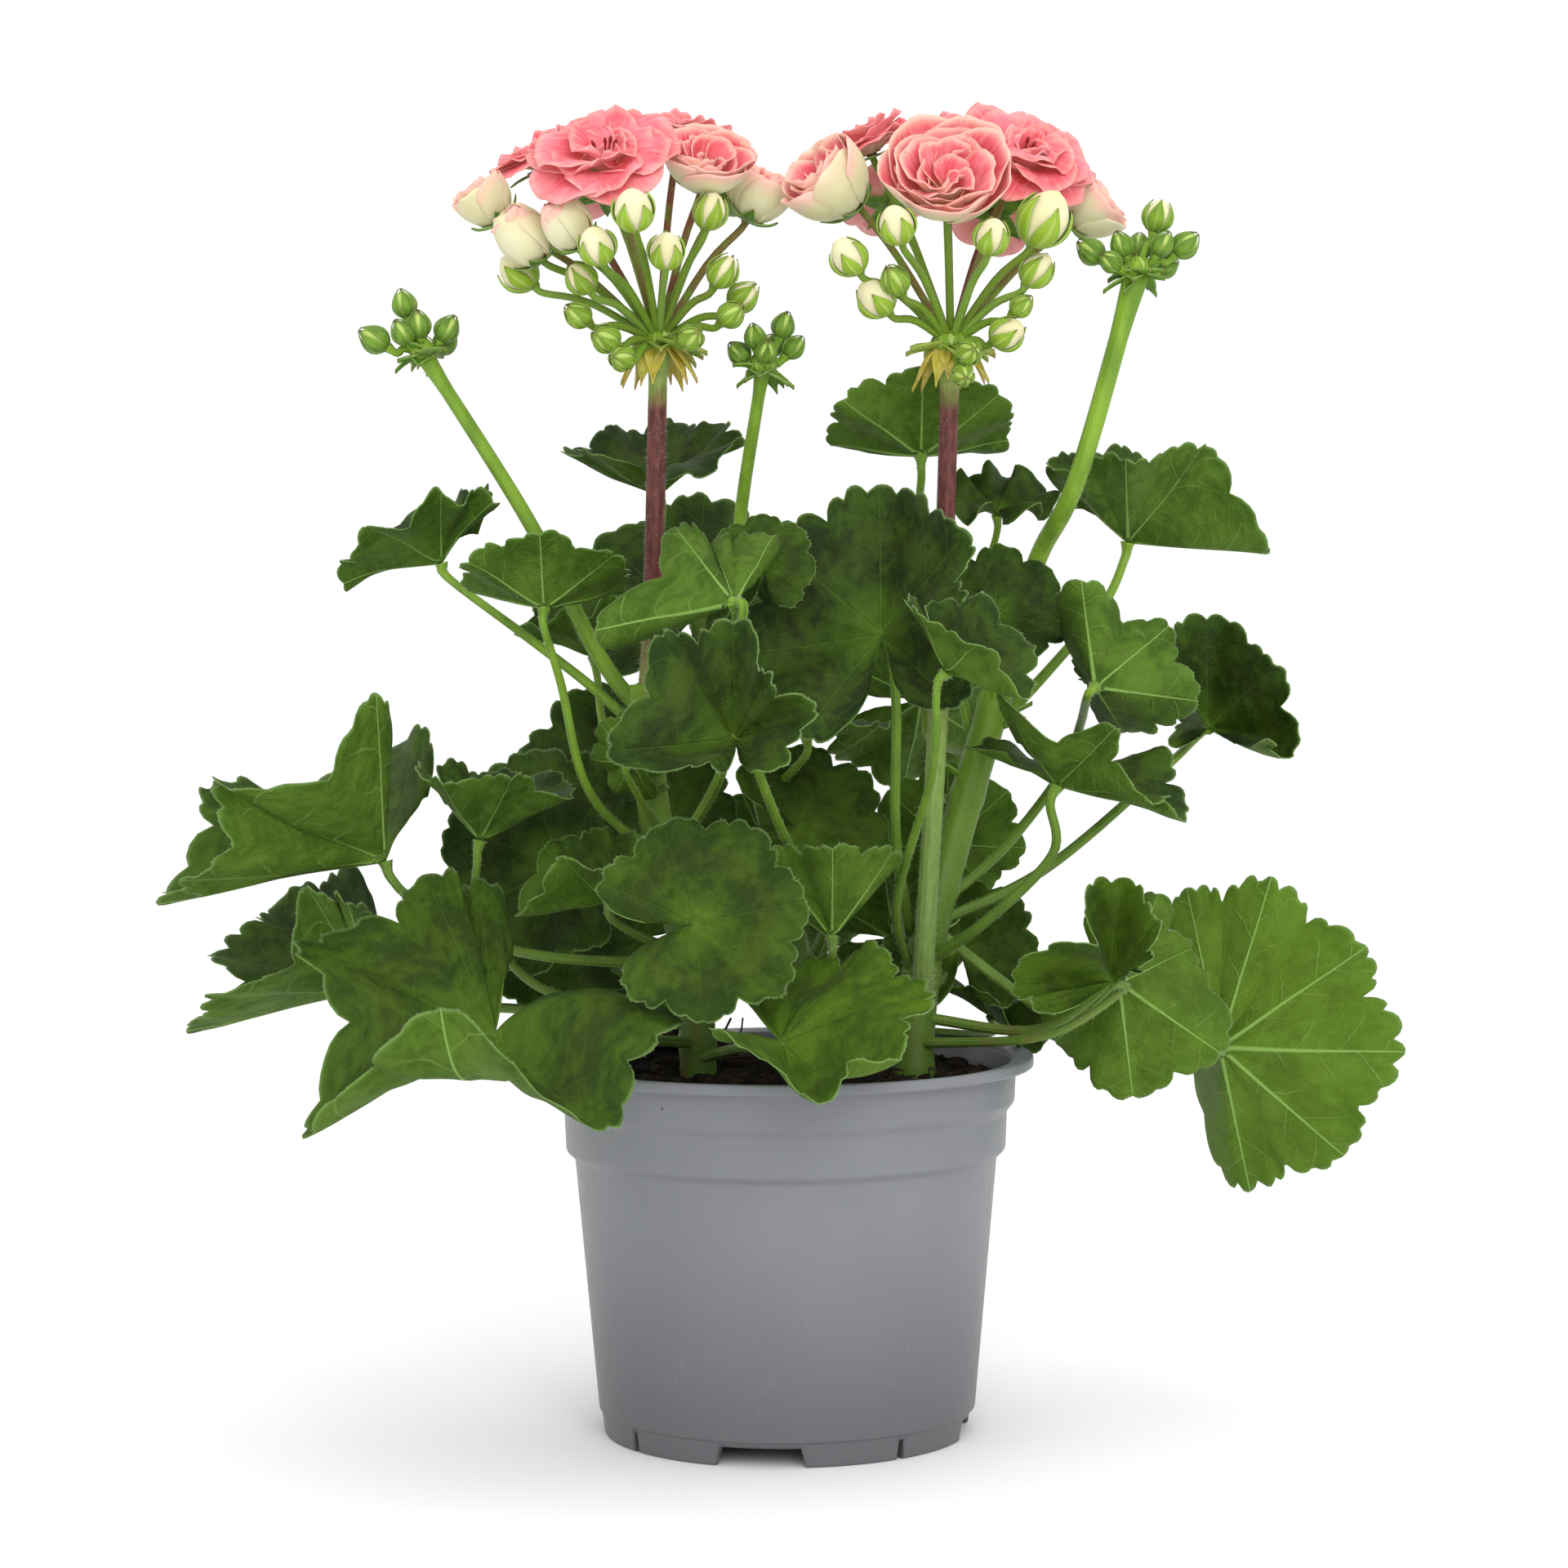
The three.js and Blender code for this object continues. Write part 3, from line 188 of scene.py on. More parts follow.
YOUNG_LEAVES = {
    "left": [
        leaf([-34, 32, 160], [90, 65, 0], 22, [20, 10, 0, 0, 0, 10, 20], [-30, 4, 142]),
        leaf([-39, -14, 176], [180, 40, -60], 14, [20, 20, 20, 20, 20, 20, 20], [-32, 4, 156]),
        leaf([-58, 30, 124], [180, 10, 60], 22, [20, 10, 0, 0, 0, 10, 20], [-24, 2, 114]),
    ],
    "middle": [
        leaf([-5, -24, 226], [90, 80, 0], 14, [10, 10, 0, 0, 0, 10, 10], [-10, -12, 221], [-14, 8, 206],
             [-10, 23, 188]),
        leaf([6, 0, 182], [318, 10, 0], 22, [30, 20, 10, 0, 0, 10, 20], [-4, 22, 166]),
        leaf([4, 8, 158], [0, -10, -60], 24, [10, 10, 0, 0, 0, 10, 10], [0, 21, 148]),
    ],
    "right": [
        leaf([44, 32, 152], [270, 80, 0], 22, [20, 10, 0, 0, 0, 10, 20], [42, 8, 144]),
        leaf([47, 21, 124], [90, 60, 0], 22, [0, 0, 0, 0, 0, 0, 0], [36, 7, 112]),
        leaf([56, 33, 105], [300, -20, 0], 22, [20, 30, 40, 0, 40, 30, 20], [35, 6, 104]),
    ],
}

# Stems and stalks: points of the route from the foot up, and the radii at its two ends

STEMS = {
    "left": ([[-22, 0, STEM_FOOT], [-23, 1, 98], [-24, 2, 120], [-32, 4, 150], [-36, 5, 178],
             [-37, 5, 196]], [5, 4]),
    "middle": ([[5, 16, STEM_FOOT], [4, 16, 98], [2, 19, 130], [-6, 24, 170], [-10, 23, 196]],
               [4, 3.2]),
    "right": ([[34, 5, STEM_FOOT], [34, 5, 98], [37, 6, 125], [45, 8, 155], [54, 10, 185],
              [58, 10, 200]], [5.5, 4]),
}
FLOWER_STALKS = {
    "left": ([[-36, 5, 186], [-34, 1, 216], [-32, 0, 285]], [2.9, 2.4]),
    "right": ([[36, 3, 112], [37, -4, 136], [41, 0, 200], [44, 0, 284]], [2.9, 2.4]),
}
BUD_STALKS = {
    "left": ([[-35, 5, 186], [-48, 5, 203], [-67, 2, 240], [-93, 0, 282]], [2.2, 1.8]),
    "middle": ([[-9, 23, 188], [-12, 20, 230], [-5, 0, 278]], [1.9, 1.6]),
    "right": ([[57, 10, 192], [62, 16, 212], [68, 13, 230], [77, -2, 250], [92, -4, 302]], [2.5, 2.5]),
}

# Blooms: centre of the open face, axis, radius and how far it has opened

BLOOMS = {
    "left": [
        ([-45.5, -23, 333], [-0.15, -0.65, 0.75], 18.5, "open"),
        ([-19, -11, 330.5], [0.2, -0.6, 0.85], 13.5, "cup"),
        ([-5.5, 7, 324], [0.5, -0.1, 0.9], 11.2, "half"),
        ([-77, -2, 322], [-0.6, -0.2, 0.8], 10, "half"),
        ([-65, 8, 336], [-0.5, -0.2, 0.9], 12.5, "open"),
        ([-28, 16, 341], [0, 0.2, 1], 15, "open"),
        ([-48, 32, 332], [-0.3, 0.6, 0.9], 13.5, "open"),
        ([-14, 32, 329], [0.4, 0.5, 0.9], 12, "cup"),
    ],
    "right": [
        ([42, -23, 325.5], [-0.03, -0.8, 0.6], 18.3, "cup"),
        ([12.5, -8, 325.5], [-0.75, -0.42, 0.65], 15, "half"),
        ([64.5, 2, 335], [0.35, -0.65, 0.7], 18.3, "open"),
        ([82.5, 13, 320], [0.8, -0.2, 0.5], 11, "half"),
        ([22, 14, 340], [-0.4, -0.1, 1], 14, "open"),
        ([44, 25, 342], [0, 0.3, 1], 13, "open"),
        ([28, 37, 328], [-0.3, 0.7, 0.8], 12.5, "open"),
        ([58, 34, 323], [0.2, 0.9, 0.4], 12, "open"),
    ],
}

# Buds: centre and radius, from the ground on flower stalks, from the hub in bud heads

FLOWER_BUDS = {
    "left": [
        [-36.7, -43, 315, 5.2], [-46.3, -34, 307, 4.8], [-29, -30, 306, 4.6], [-51, -20, 300, 4],
        [-18, -18, 317, 4.4], [-15, -14, 302, 4], [-10, -6, 296, 3.8], [-23, -18, 285, 3.2],
        [-45, -16, 285, 3.6], [-13, -14, 291, 3.3], [-52, -16, 291, 3.3], [-41, -16, 280, 3.3],
        [-67.5, -14, 313.5, 9], [-55.5, -25, 315.5, 7.8], [-68, -4, 303, 5],
    ],
    "right": [
        [17, -22, 305, 4.8], [53, -31, 309, 4.5], [67, -20, 314.5, 6.9], [65.5, -14, 302, 4.4],
        [24, -16, 295, 5], [29, -20, 299, 3.6], [58, -12, 286, 4.4], [48, -16, 281, 3.2],
        [29, -32, 312, 4.8], [61.6, -12, 293, 2.8], [46.5, -16, 275, 2.8],
    ],
}
HEAD_BUDS = {
    "left": [
        [-5, -1, 13, 3.1], [-12.5, -2, 4, 3.5], [-5, -4, 5.5, 3], [-1, -3, 7.5, 3], [6, -1, 6.5, 3.1],
        [5, 5, 3.5, 3], [-4, 5, 6, 3.2],
    ],
    "middle": [
        [5.4, 0, 11, 2.9], [-2, -3, 8, 2.7], [8, 1, 5.5, 2.8], [-6, 0, 4, 2.8], [1, -5, 4, 2.7],
        [2, 5, 6, 2.9],
    ],
    "right": [
        [5.5, 0, 14.5, 3.9], [-4.1, -2, 7, 2.8], [6.2, -3, 7, 2.8], [-11.7, 0, 5.5, 3.3],
        [12.4, 0, 7, 3.3], [-7, -4, 2.5, 2.7], [1, 5, 7, 3.2], [8, 4, 2, 2.9],
    ],
}

# Skins: the points, faces and paint values of a piece


class Skin:
    """Gathers the closed shapes of one piece. Each point has three paint values, two flat
    coordinates with a seed, and a tone."""

    def __init__(self):
        self.points, self.faces = [], []
        self.paint, self.flat, self.tone = [], [], []
        self.count = 0

    def add(self, points, faces, paint=(0, 0, 0), flat=(0, 0, 0), tone=0.0):
        points = np.asarray(points, float).reshape(-1, 3)
        number = len(points)
        self.points.append(points)
        for block in faces:
            self.faces.extend((np.asarray(block) + self.count).tolist())
        self.paint.append(np.broadcast_to(np.reshape(paint, (-1, 3)), (number, 3)))
        self.flat.append(np.broadcast_to(np.reshape(flat, (-1, 3)), (number, 3)))
        self.tone.append(np.broadcast_to(np.ravel(tone), (number,)))
        self.count += number

    def add_round(self, grid, capped=False, **values):
        """Adds a grid of points whose rows run all the way round, its end rings closed by a
        face each where it is capped."""
        rows, columns = grid.shape[:2]
        faces = [grid_faces(rows, columns, around=True)]
        if capped:
            faces += [[range(columns)], [range((rows - 1) * columns, rows * columns)]]
        self.add(grid, faces, **values)

    def build(self, name, material, slot, node):
        """Makes the piece, riding on the root body in place of the named solid."""
        mesh = bpy.data.meshes.new(name)
        points = np.concatenate(self.points) * MM + POT_AXIS
        mesh.from_pydata(points.tolist(), [], self.faces)
        for label, kind, field, values in (
            ("paint", "FLOAT_VECTOR", "vector", self.paint),
            ("flat", "FLOAT_VECTOR", "vector", self.flat),
            ("tone", "FLOAT", "value", self.tone),
        ):
            layer = mesh.attributes.new(label, kind, "POINT")
            layer.data.foreach_set(field, np.concatenate(values).astype(np.float32).ravel())
        work = bmesh.new()
        work.from_mesh(mesh)
        bmesh.ops.remove_doubles(work, verts=work.verts, dist=2e-7)
        bmesh.ops.dissolve_degenerate(work, edges=work.edges, dist=1e-8)
        bmesh.ops.recalc_face_normals(work, faces=work.faces)
        work.to_mesh(mesh)
        work.free()
        mesh.shade_smooth()
        mesh.materials.append(material)
        piece = bpy.data.objects.new(name, mesh)
        bpy.context.scene.collection.objects.link(piece)
        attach(piece, "root")
        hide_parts(node)


def unit(vector):
    vector = np.asarray(vector, float)
    return vector / np.maximum(np.linalg.norm(vector, axis=-1, keepdims=True), 1e-9)


def grid_faces(rows, columns, around=False):
    """Quads of a grid of points; around also joins the last column to the first."""
    index = np.arange(rows * columns).reshape(rows, columns)
    if around:
        index = np.concatenate([index, index[:, :1]], axis=1)
    corners = (index[:-1, :-1], index[:-1, 1:], index[1:, 1:], index[1:, :-1])
    return np.stack(corners, axis=-1).reshape(-1, 4)


def grid_normals(surface):
    normals = np.cross(np.gradient(surface, axis=1), np.gradient(surface, axis=0))
    weak = np.linalg.norm(normals, axis=-1) < 1e-6
    normals = unit(normals)
    normals[weak] = unit(normals[~weak].mean(axis=0))
    return normals


def folded(upper, lower):
    """A grid that runs along an upper face and back along a lower one."""
    return np.concatenate([upper, lower[:, ::-1]], axis=1)


def add_sheet(skin, surface, thickness, paint, flat, seed, tone):
    """A thin blade from a grid of points. Paint's third value is 1 on the upper face."""
    offset = grid_normals(surface) * np.broadcast_to(thickness, surface.shape[:2])[..., None] / 2
    grid = folded(surface + offset, surface - offset)
    rows, columns = grid.shape[:2]
    width = columns // 2
    index = np.arange(rows * columns).reshape(rows, columns)
    faces = [grid_faces(rows, columns, around=True)]
    for edge in (index[0], index[-1]):
        top, bottom = edge[:width], edge[width:][::-1]
        faces.append(np.stack([top[:-1], top[1:], bottom[1:], bottom[:-1]], axis=-1))
    upper_face = np.broadcast_to(np.repeat([1.0, 0.0], width), (rows, columns))
    paint = np.dstack([*(folded(values, values) for values in paint), upper_face])
    flat = np.dstack([*(folded(values, values) for values in flat), np.full((rows, columns), seed)])
    skin.add(grid, faces, paint, flat, tone)


def smooth_path(points, steps):
    """Points along a smooth curve through the given ones."""
    points = np.asarray(points, float)
    padded = np.vstack([2 * points[0] - points[1], points, 2 * points[-1] - points[-2]])
    place = np.linspace(0, len(points) - 1, steps + 1)
    first = np.minimum(place.astype(int), len(points) - 2)
    u = (place - first)[:, None]
    a, b, c, d = (padded[first + k] for k in range(4))
    start, end = (c - a) / 2, (d - b) / 2
    square = (3 * (c - b) - 2 * start - end) * u**2
    cube = (2 * (b - c) + start + end) * u**3
    return b + start * u + square + cube


def way_along(path):
    """The distance from a path's start to each of its points."""
    return np.concatenate([[0], np.cumsum(np.linalg.norm(np.diff(path, axis=0), axis=1))])


def path_frames(path):
    """Two directions across a path at each point, turned as little as possible."""
    tangents = unit(np.gradient(path, axis=0))
    side = np.cross(tangents[0], [0.3, 0.9, 0.31])
    sides = []
    for tangent in tangents:
        side = unit(side - tangent * np.dot(side, tangent))
        sides.append(side)
    return np.array(sides), np.cross(tangents, sides)


def taper(ends, count, *tip):
    """Radii that run from one end's to the other's, the last few scaled by the tip's shares."""
    radius = np.linspace(*ends, count)
    radius[count - len(tip) :] *= tip
    return radius


def add_tube(skin, path, radius, sides, seed, tone):
    """A round bar along a path, closed at both ends. Paint holds the shares of the way and of
    the turn."""
    count = len(path)
    across, beside = path_frames(path)
    turn = np.linspace(0, 2 * np.pi, sides, endpoint=False)[None, :, None]
    ring = np.cos(turn) * across[:, None] + np.sin(turn) * beside[:, None]
    ring = path[:, None] + ring * np.broadcast_to(radius, (count,))[:, None, None]
    foot, tip = (np.broadcast_to(path[k], (1, sides, 3)) for k in (0, -1))
    way = np.pad(way_along(path), 1, mode="edge")
    share = np.repeat(way / way[-1], sides)
    around = np.tile(np.arange(sides) / sides, count + 2)
    zero = np.zeros_like(share)
    paint = np.stack([share, around, zero], axis=-1)
    flat = np.stack([np.repeat(way, sides), around * 6, zero + seed], axis=-1)
    skin.add_round(np.concatenate([foot, ring, tip]), paint=paint, flat=flat, tone=tone)


def between(values, place):
    """Values at places that lie between the whole numbers, blended in a straight line, and
    the whole numbers below those places."""
    low = place.astype(int)
    share = (place - low)[:, None]
    return [value[low] * (1 - share) + value[low + 1] * share for value in values], low


def add_hairs(skin, roots, directions, length, rng):
    """Fine three-sided bristles."""
    number = len(roots)
    directions = unit(directions + rng.normal(0, 0.25, (number, 3)))
    across = unit(np.cross(directions, rng.normal(0, 1, (number, 3))))
    beside = np.cross(directions, across)
    corners = [roots + HAIR_RADIUS * (math.cos(turn) * across + math.sin(turn) * beside)
               for turn in (0, 2.09, 4.19)]
    tips = roots + directions * (length * rng.uniform(0.5, 1.2, (number, 1)))
    first = np.arange(number)[:, None] * 4
    faces = [first + np.array(face) for face in ([0, 1, 3], [1, 2, 3], [2, 0, 3])]
    skin.add(np.stack([*corners, tips], axis=1), faces)


def hairs_along(skin, path, radius, count, length, rng):
    """Bristles standing off a bar."""
    place = rng.uniform(0, len(path) - 1.001, count)
    (middle, across, beside), low = between((path, *path_frames(path)), place)
    turn = rng.uniform(0, 2 * np.pi, (count, 1))
    out = np.cos(turn) * across + np.sin(turn) * beside
    add_hairs(skin, middle + out * radius[low][:, None] * 0.95, out, length, rng)


def turned_frame(axis):
    """Two directions square to an axis, and the axis."""
    axis = unit(axis)
    across = unit(np.cross(axis, [0.22, 0.1, 0.97] if abs(axis[2]) < 0.95 else [1, 0, 0]))
    return across, np.cross(axis, across), axis


def spoke(turn, rise):
    """The way out from the upright axis at an angle round it, with a rise."""
    return np.array([math.cos(turn), math.sin(turn), rise])


# Leaves


def between_veins(values, theta):
    """Values given for the seven veins, or one for all, blended smoothly between them."""
    values = np.broadcast_to(values, 7).astype(float)
    position = np.clip(theta / VEIN_STEP, -3, 3) + 3
    lower = np.minimum(position.astype(int), 5)
    blend = 0.5 - 0.5 * np.cos(np.pi * (position - lower))
    return values[lower] * (1 - blend) + values[lower + 1] * blend


def blade_outline(theta, from_vein):
    """The blade's radius as a share: less between the veins and at the sinus."""
    angle = np.abs(theta)
    return (
        (1 - 0.13 * (angle / BLADE_HALF_ANGLE) ** 2)
        * (1 - 0.09 * from_vein**2)
        * (1 - 0.38 * np.clip((angle - 146) / 22, 0, 1) ** 2)
    )


def cleft_share(cleft, theta):
    """How much of the radius is left where lobes are cleft more deeply than usual."""
    position = np.clip(theta / VEIN_STEP + 3, 0, 5.999)
    return 1 - np.asarray(cleft)[position.astype(int)] * np.sin(np.pi * (position % 1)) ** 2


def blade_axes(heading, rise, roll):
    """The directions of a blade's midrib, its left side and its upper face."""
    h, r, o = np.radians([heading, rise, roll])
    midrib = np.array([math.cos(r) * math.cos(h), math.cos(r) * math.sin(h), math.sin(r)])
    level = np.array([-math.sin(r) * math.cos(h), -math.sin(r) * math.sin(h), math.cos(r)])
    across = np.cross(level, midrib)
    face = level * math.cos(o) + across * math.sin(o)
    side = across * math.cos(o) - level * math.sin(o)
    return midrib, side, face


def blade_surface(plan, theta, t, scallops, rng):
    """The grid of points of a blade: seven lifted veins, pleats, waves and a scalloped rim."""
    midrib, side, face = blade_axes(*plan.aim)
    size = plan.size
    turn = theta / VEIN_STEP
    angle = np.radians(theta)
    offset = turn - np.round(turn)
    from_vein = np.abs(offset) * 2
    lift = np.radians(between_veins(plan.lift, theta))
    curl = np.radians(between_veins(plan.curl, theta))
    curl = np.where(np.abs(curl) < 1e-4, 1e-4, curl)

    warp = 0.12 * np.sin(turn * 5.3 + rng.uniform(0, 6)) + 0.1 * np.sin(turn * 11.7 + rng.uniform(0, 6))
    scallop = 1 - np.abs(2 * (((turn + 0.5) * scallops + warp) % 1) - 1) ** 2.6
    rim = np.clip((t - 0.75) / 0.25, 0, 1) ** 1.5
    uneven = 1 + 0.35 * np.sin(turn * 3.1 + rng.uniform(0, 6))
    cut = 0.055 * scallop * uneven - 0.025 - 0.05 * from_vein**8
    reach = size * blade_outline(theta, from_vein) * cleft_share(plan.cleft, theta) * (1 + rim * cut)
    slope = lift + curl * t
    out = reach * (np.sin(slope) - np.sin(lift)) / curl
    rise = reach * (np.cos(lift) - np.cos(slope)) / curl

    opened = np.radians(theta * between_veins(plan.spread, theta))[..., None]
    ray = np.cos(opened) * midrib + np.sin(opened) * side
    normal = np.cos(slope)[..., None] * face - np.sin(slope)[..., None] * ray
    pleat = 0.035 * size * (from_vein**1.2 - 0.35) * np.sin(np.pi * t**0.8 * 0.75)
    ruffle = plan.ruffle * size * t**2.5 * np.sin(plan.waves * angle)
    fine = 0.011 * size * t**5 * np.sin(angle * 24 + rng.uniform(0, 6))
    x, y = t * np.cos(angle), t * np.sin(angle)
    dents = sum(
        0.009 * size * np.sin(a * x + b * y + c)
        for a, b, c in zip(*rng.uniform([[-8], [-8], [0]], [[8], [8], [6]], (3, 5)))
    )
    lateral = np.abs(offset) * math.radians(VEIN_STEP) * t
    branch = (t - 0.9 * lateral) * 4.2 + 0.25 * np.sign(offset)
    quilt = -0.004 * size * np.cos(2 * np.pi * branch) * np.clip(from_vein * 2, 0, 1) * (t > 0.25)
    height = pleat + ruffle + fine + dents * np.clip(t * 2, 0, 1) + quilt * np.clip(t * 2 - 0.5, 0, 1)
    return plan.at + ray * out[..., None] + face * rise[..., None] + normal * height[..., None]


def add_leaf(blade, bar, hairs, plan, seed, tone):
    """A leaf: blade with both faces, petiole, and bristles on the rim and the petiole."""
    rng = np.random.default_rng(seed)
    size = plan.size
    scallops, per_lobe, rings = next(grade[1:] for grade in LEAF_GRADES if size > grade[0])
    theta, t = np.meshgrid(
        np.linspace(-BLADE_HALF_ANGLE, BLADE_HALF_ANGLE, 7 * per_lobe + 1),
        np.linspace(0, 1, rings) ** 0.85,
        indexing="ij",
    )
    surface = blade_surface(plan, theta, t, scallops, rng)
    angle = np.radians(theta)
    flat = (size * t * np.cos(angle), size * t * np.sin(angle))
    add_sheet(blade, surface, BLADE_THICKNESS * (1 - 0.55 * t**6), (theta / VEIN_STEP, t), flat,
              seed * 0.37 % 1, tone)

    middle = unit(grid_normals(surface)[:, rings // 5].mean(axis=0))
    route = [plan.at, plan.at - middle * PETIOLE_NECK, *plan.way]
    path = smooth_path(route, 8 * (len(route) - 1))
    way = way_along(path)
    slim = min(size / 34, 1) ** 0.4
    radius = slim * (PETIOLE_RADIUS * (0.92 + 0.35 * way / way[-1]) + 0.9 * np.exp(-way / 1.6))
    add_tube(bar, path, radius, 9, seed, tone)
    hairs_along(hairs, path, radius, int(way[-1] * 3), 0.9, rng)

    edge = surface[:, -1]
    outward = unit(edge - surface[:, -2])
    place = rng.uniform(0, len(edge) - 1.001, int(size * 7))
    (roots,), low = between((edge,), place)
    add_hairs(hairs, roots, outward[low], 0.75, rng)

# Flowers and buds


def add_petal(skin, base, frame_axes, azimuth, petal, rng, seed, tone):
    """One petal: a fan that follows a bent profile out from the flower's axis."""
    across, beside, axis = frame_axes
    w, s = np.meshgrid(np.linspace(-1, 1, petal.columns), np.linspace(0, 1, petal.rows), indexing="ij")
    notch = petal.notch * np.exp(-((w / 0.18) ** 2))
    along = s * (1 - petal.corner * np.abs(w) ** 2.6 - notch)
    u = np.linspace(0, 1, 60)
    slope = np.radians(np.interp(u, np.linspace(0, 1, len(petal.slopes)), petal.slopes))
    step = petal.length / (len(u) - 1)
    out = petal.start + np.concatenate([[0], np.cumsum(np.cos(slope[1:]) * step)])
    rise = np.concatenate([[0], np.cumsum(np.sin(slope[1:]) * step)])
    here, reach, height = (np.interp(along, u, values) for values in (slope, out, rise))
    spread = np.sin(np.pi / 2 * np.clip(along / petal.widest, 0.02, 1)) ** 0.8
    tip = np.clip((along - petal.widest) / (1 - petal.widest), 0, 1)
    half_width = petal.width * spread * (1 - petal.point * tip**1.4)
    turn = azimuth + w * np.minimum(half_width / np.maximum(np.abs(reach), 0.3), 2.4) + petal.twist * s
    phase = rng.uniform(0, 6.28, 5)
    crumple = petal.ruffle
    inward = (
        petal.lean * w
        + petal.cup * w**2 * s
        + crumple * s**2.2 * np.sin(4.2 * w + phase[0])
        + 0.6 * crumple * s**3 * np.sin(9.5 * w + phase[1])
        + 0.25 * crumple * s * np.sin(6 * s + 3 * w + phase[2])
    )
    radial = np.cos(turn)[..., None] * across + np.sin(turn)[..., None] * beside
    surface = (
        base
        + axis * (height + inward * np.cos(here))[..., None]
        + radial * (reach - inward * np.sin(here))[..., None]
    )
    flat = (w * half_width, along * petal.length)
    add_sheet(skin, surface, petal.thickness * (1 - 0.5 * s**4), (s, w), flat, seed, tone)


# How a flower opens. Each row of petals, from the outside in, has its slopes from claw to tip
# in degrees above square to the flower's axis, its length and half width as shares of the
# radius, its number of petals, and how much they lean over each other and crumple.

OPENINGS = {
    "open": [
        ([40, 8, -22], 1.06, 0.7, 5, 0.5, 0.9),
        ([55, 20, -6], 0.98, 0.62, 5, 0.5, 1.0),
        ([64, 36, 10], 0.84, 0.52, 5, 0.5, 1.1),
        ([72, 56, 26], 0.66, 0.36, 5, 0.4, 1.2),
        ([82, 70, 58], 0.5, 0.24, 4, 0.3, 1.0),
    ],
    "cup": [
        ([0, 34, 62, 70], 1.24, 0.86, 5, 0.6, 0.5),
        ([12, 42, 62, 56], 1.14, 0.78, 5, 0.9, 0.7),
        ([26, 52, 64, 48], 1.0, 0.64, 4, 1.8, 1.1),
        ([40, 62, 70, 50], 0.88, 0.52, 4, 2.0, 1.2),
        ([60, 76, 78, 60], 0.74, 0.4, 3, 1.6, 1.2),
    ],
    "half": [
        ([6, 50, 78, 88], 1.44, 0.82, 5, 0.6, 0.4),
        ([22, 60, 80, 76], 1.38, 0.68, 5, 0.5, 0.8),
        ([42, 70, 80, 70], 1.28, 0.5, 5, 0.5, 1.2),
        ([64, 82, 86, 84], 1.2, 0.32, 5, 0.3, 0.9),
    ],
    "young": [
        ([0, 56, 88, 112, 140], 2.1, 0.95, 5, 1.0, 0.3),
        ([10, 60, 88, 104, 120], 2.0, 0.8, 4, 0.9, 0.5),
        ([40, 72, 88, 92], 1.75, 0.5, 4, 0.6, 0.7),
    ],
}
CREAM = {"open": 0.0, "cup": 0.55, "half": 0.9, "young": 0.92}
BLOOM_DEPTH = {"open": 0.36, "cup": 0.5, "half": 0.62, "young": 0.8}
BLOOM_SPREAD = {"open": 1.0, "cup": 0.98, "half": 0.95, "young": 1.0}
SEPAL_SLOPES = {"open": [-10, 5, -10], "cup": [-4, 26, 50], "half": [-4, 26, 54], "young": [-6, 24, 60]}


STAMEN_RADII = [0.22] * 5 + [0.5, 0.35]


def bloom_base(at, axis, radius, form):
    """The foot of a flower's petals, below the centre of its open face."""
    return np.asarray(at, float) - unit(axis) * (BLOOM_DEPTH[form] * radius)


def add_bloom(petals, greens, at, axis, radius, form, seed):
    """A double flower with its calyx of five pointed sepals."""
    rng = np.random.default_rng(seed)
    base = bloom_base(at, axis, radius, form)
    radius = radius * BLOOM_SPREAD[form]
    axes = turned_frame(axis)
    first_turn = rng.uniform(0, 6.28)
    rows = OPENINGS[form]
    for depth, (slopes, length, width, count, lean, crumple) in enumerate(rows):
        jitter = 0.05 + 0.07 * depth
        columns, rings = (15, 14) if depth < 2 else (11, 11)
        for k in range(count):
            petal = SimpleNamespace(
                length=length * radius * rng.uniform(1 - jitter, 1 + jitter / 2),
                width=width * radius * rng.uniform(1 - jitter, 1 + jitter),
                slopes=[slope + rng.normal(0, 2 + 3.5 * depth) for slope in slopes],
                twist=rng.normal(0, 0.06 * depth),
                ruffle=crumple * radius / 16,
                start=0.8 + 0.1 * radius * (len(rows) - depth) / 5,
                cup=0.5 if form == "open" else 0.9,
                lean=lean, corner=0.25, notch=0.03, widest=0.6, point=0,
                thickness=PETAL_THICKNESS, columns=columns, rows=rings,
            )
            turn = first_turn + 2 * np.pi * (k + 0.5 * (depth % 2)) / count + rng.normal(0, 0.08)
            cream = CREAM[form] * (1 - 0.12 * depth) + rng.normal(0, 0.04)
            add_petal(petals, base, axes, turn, petal, rng, rng.uniform(), cream)
    for _ in range(5 if form == "open" else 0):
        stamen = unit(axes[2] + 0.35 * rng.normal(0, 1, 3)) * radius
        path = smooth_path([base, base + stamen * 0.3, base + stamen * 0.5], len(STAMEN_RADII) - 1)
        add_tube(petals, path, STAMEN_RADII, 6, 0.0, 2.0)
    sepal = SimpleNamespace(
        slopes=SEPAL_SLOPES[form], length=0.4 * radius + 4, width=2.6, twist=0, ruffle=0.15, start=0.9,
        cup=0, lean=0, corner=0, notch=0, widest=0.35, point=1,
        thickness=SEPAL_THICKNESS, columns=7, rows=8,
    )
    for k in range(5):
        add_petal(greens, base - axes[2] * 0.9, axes, first_turn + FIFTH * (k + 0.5), sepal, rng, 0.5, 0.0)


def ball_grid(rings, sides):
    """Shares of the way from pole to pole, and angles round the axis."""
    turn = np.linspace(0, 2 * np.pi, sides, endpoint=False)
    return np.meshgrid(np.linspace(0, 1, rings), turn, indexing="ij")


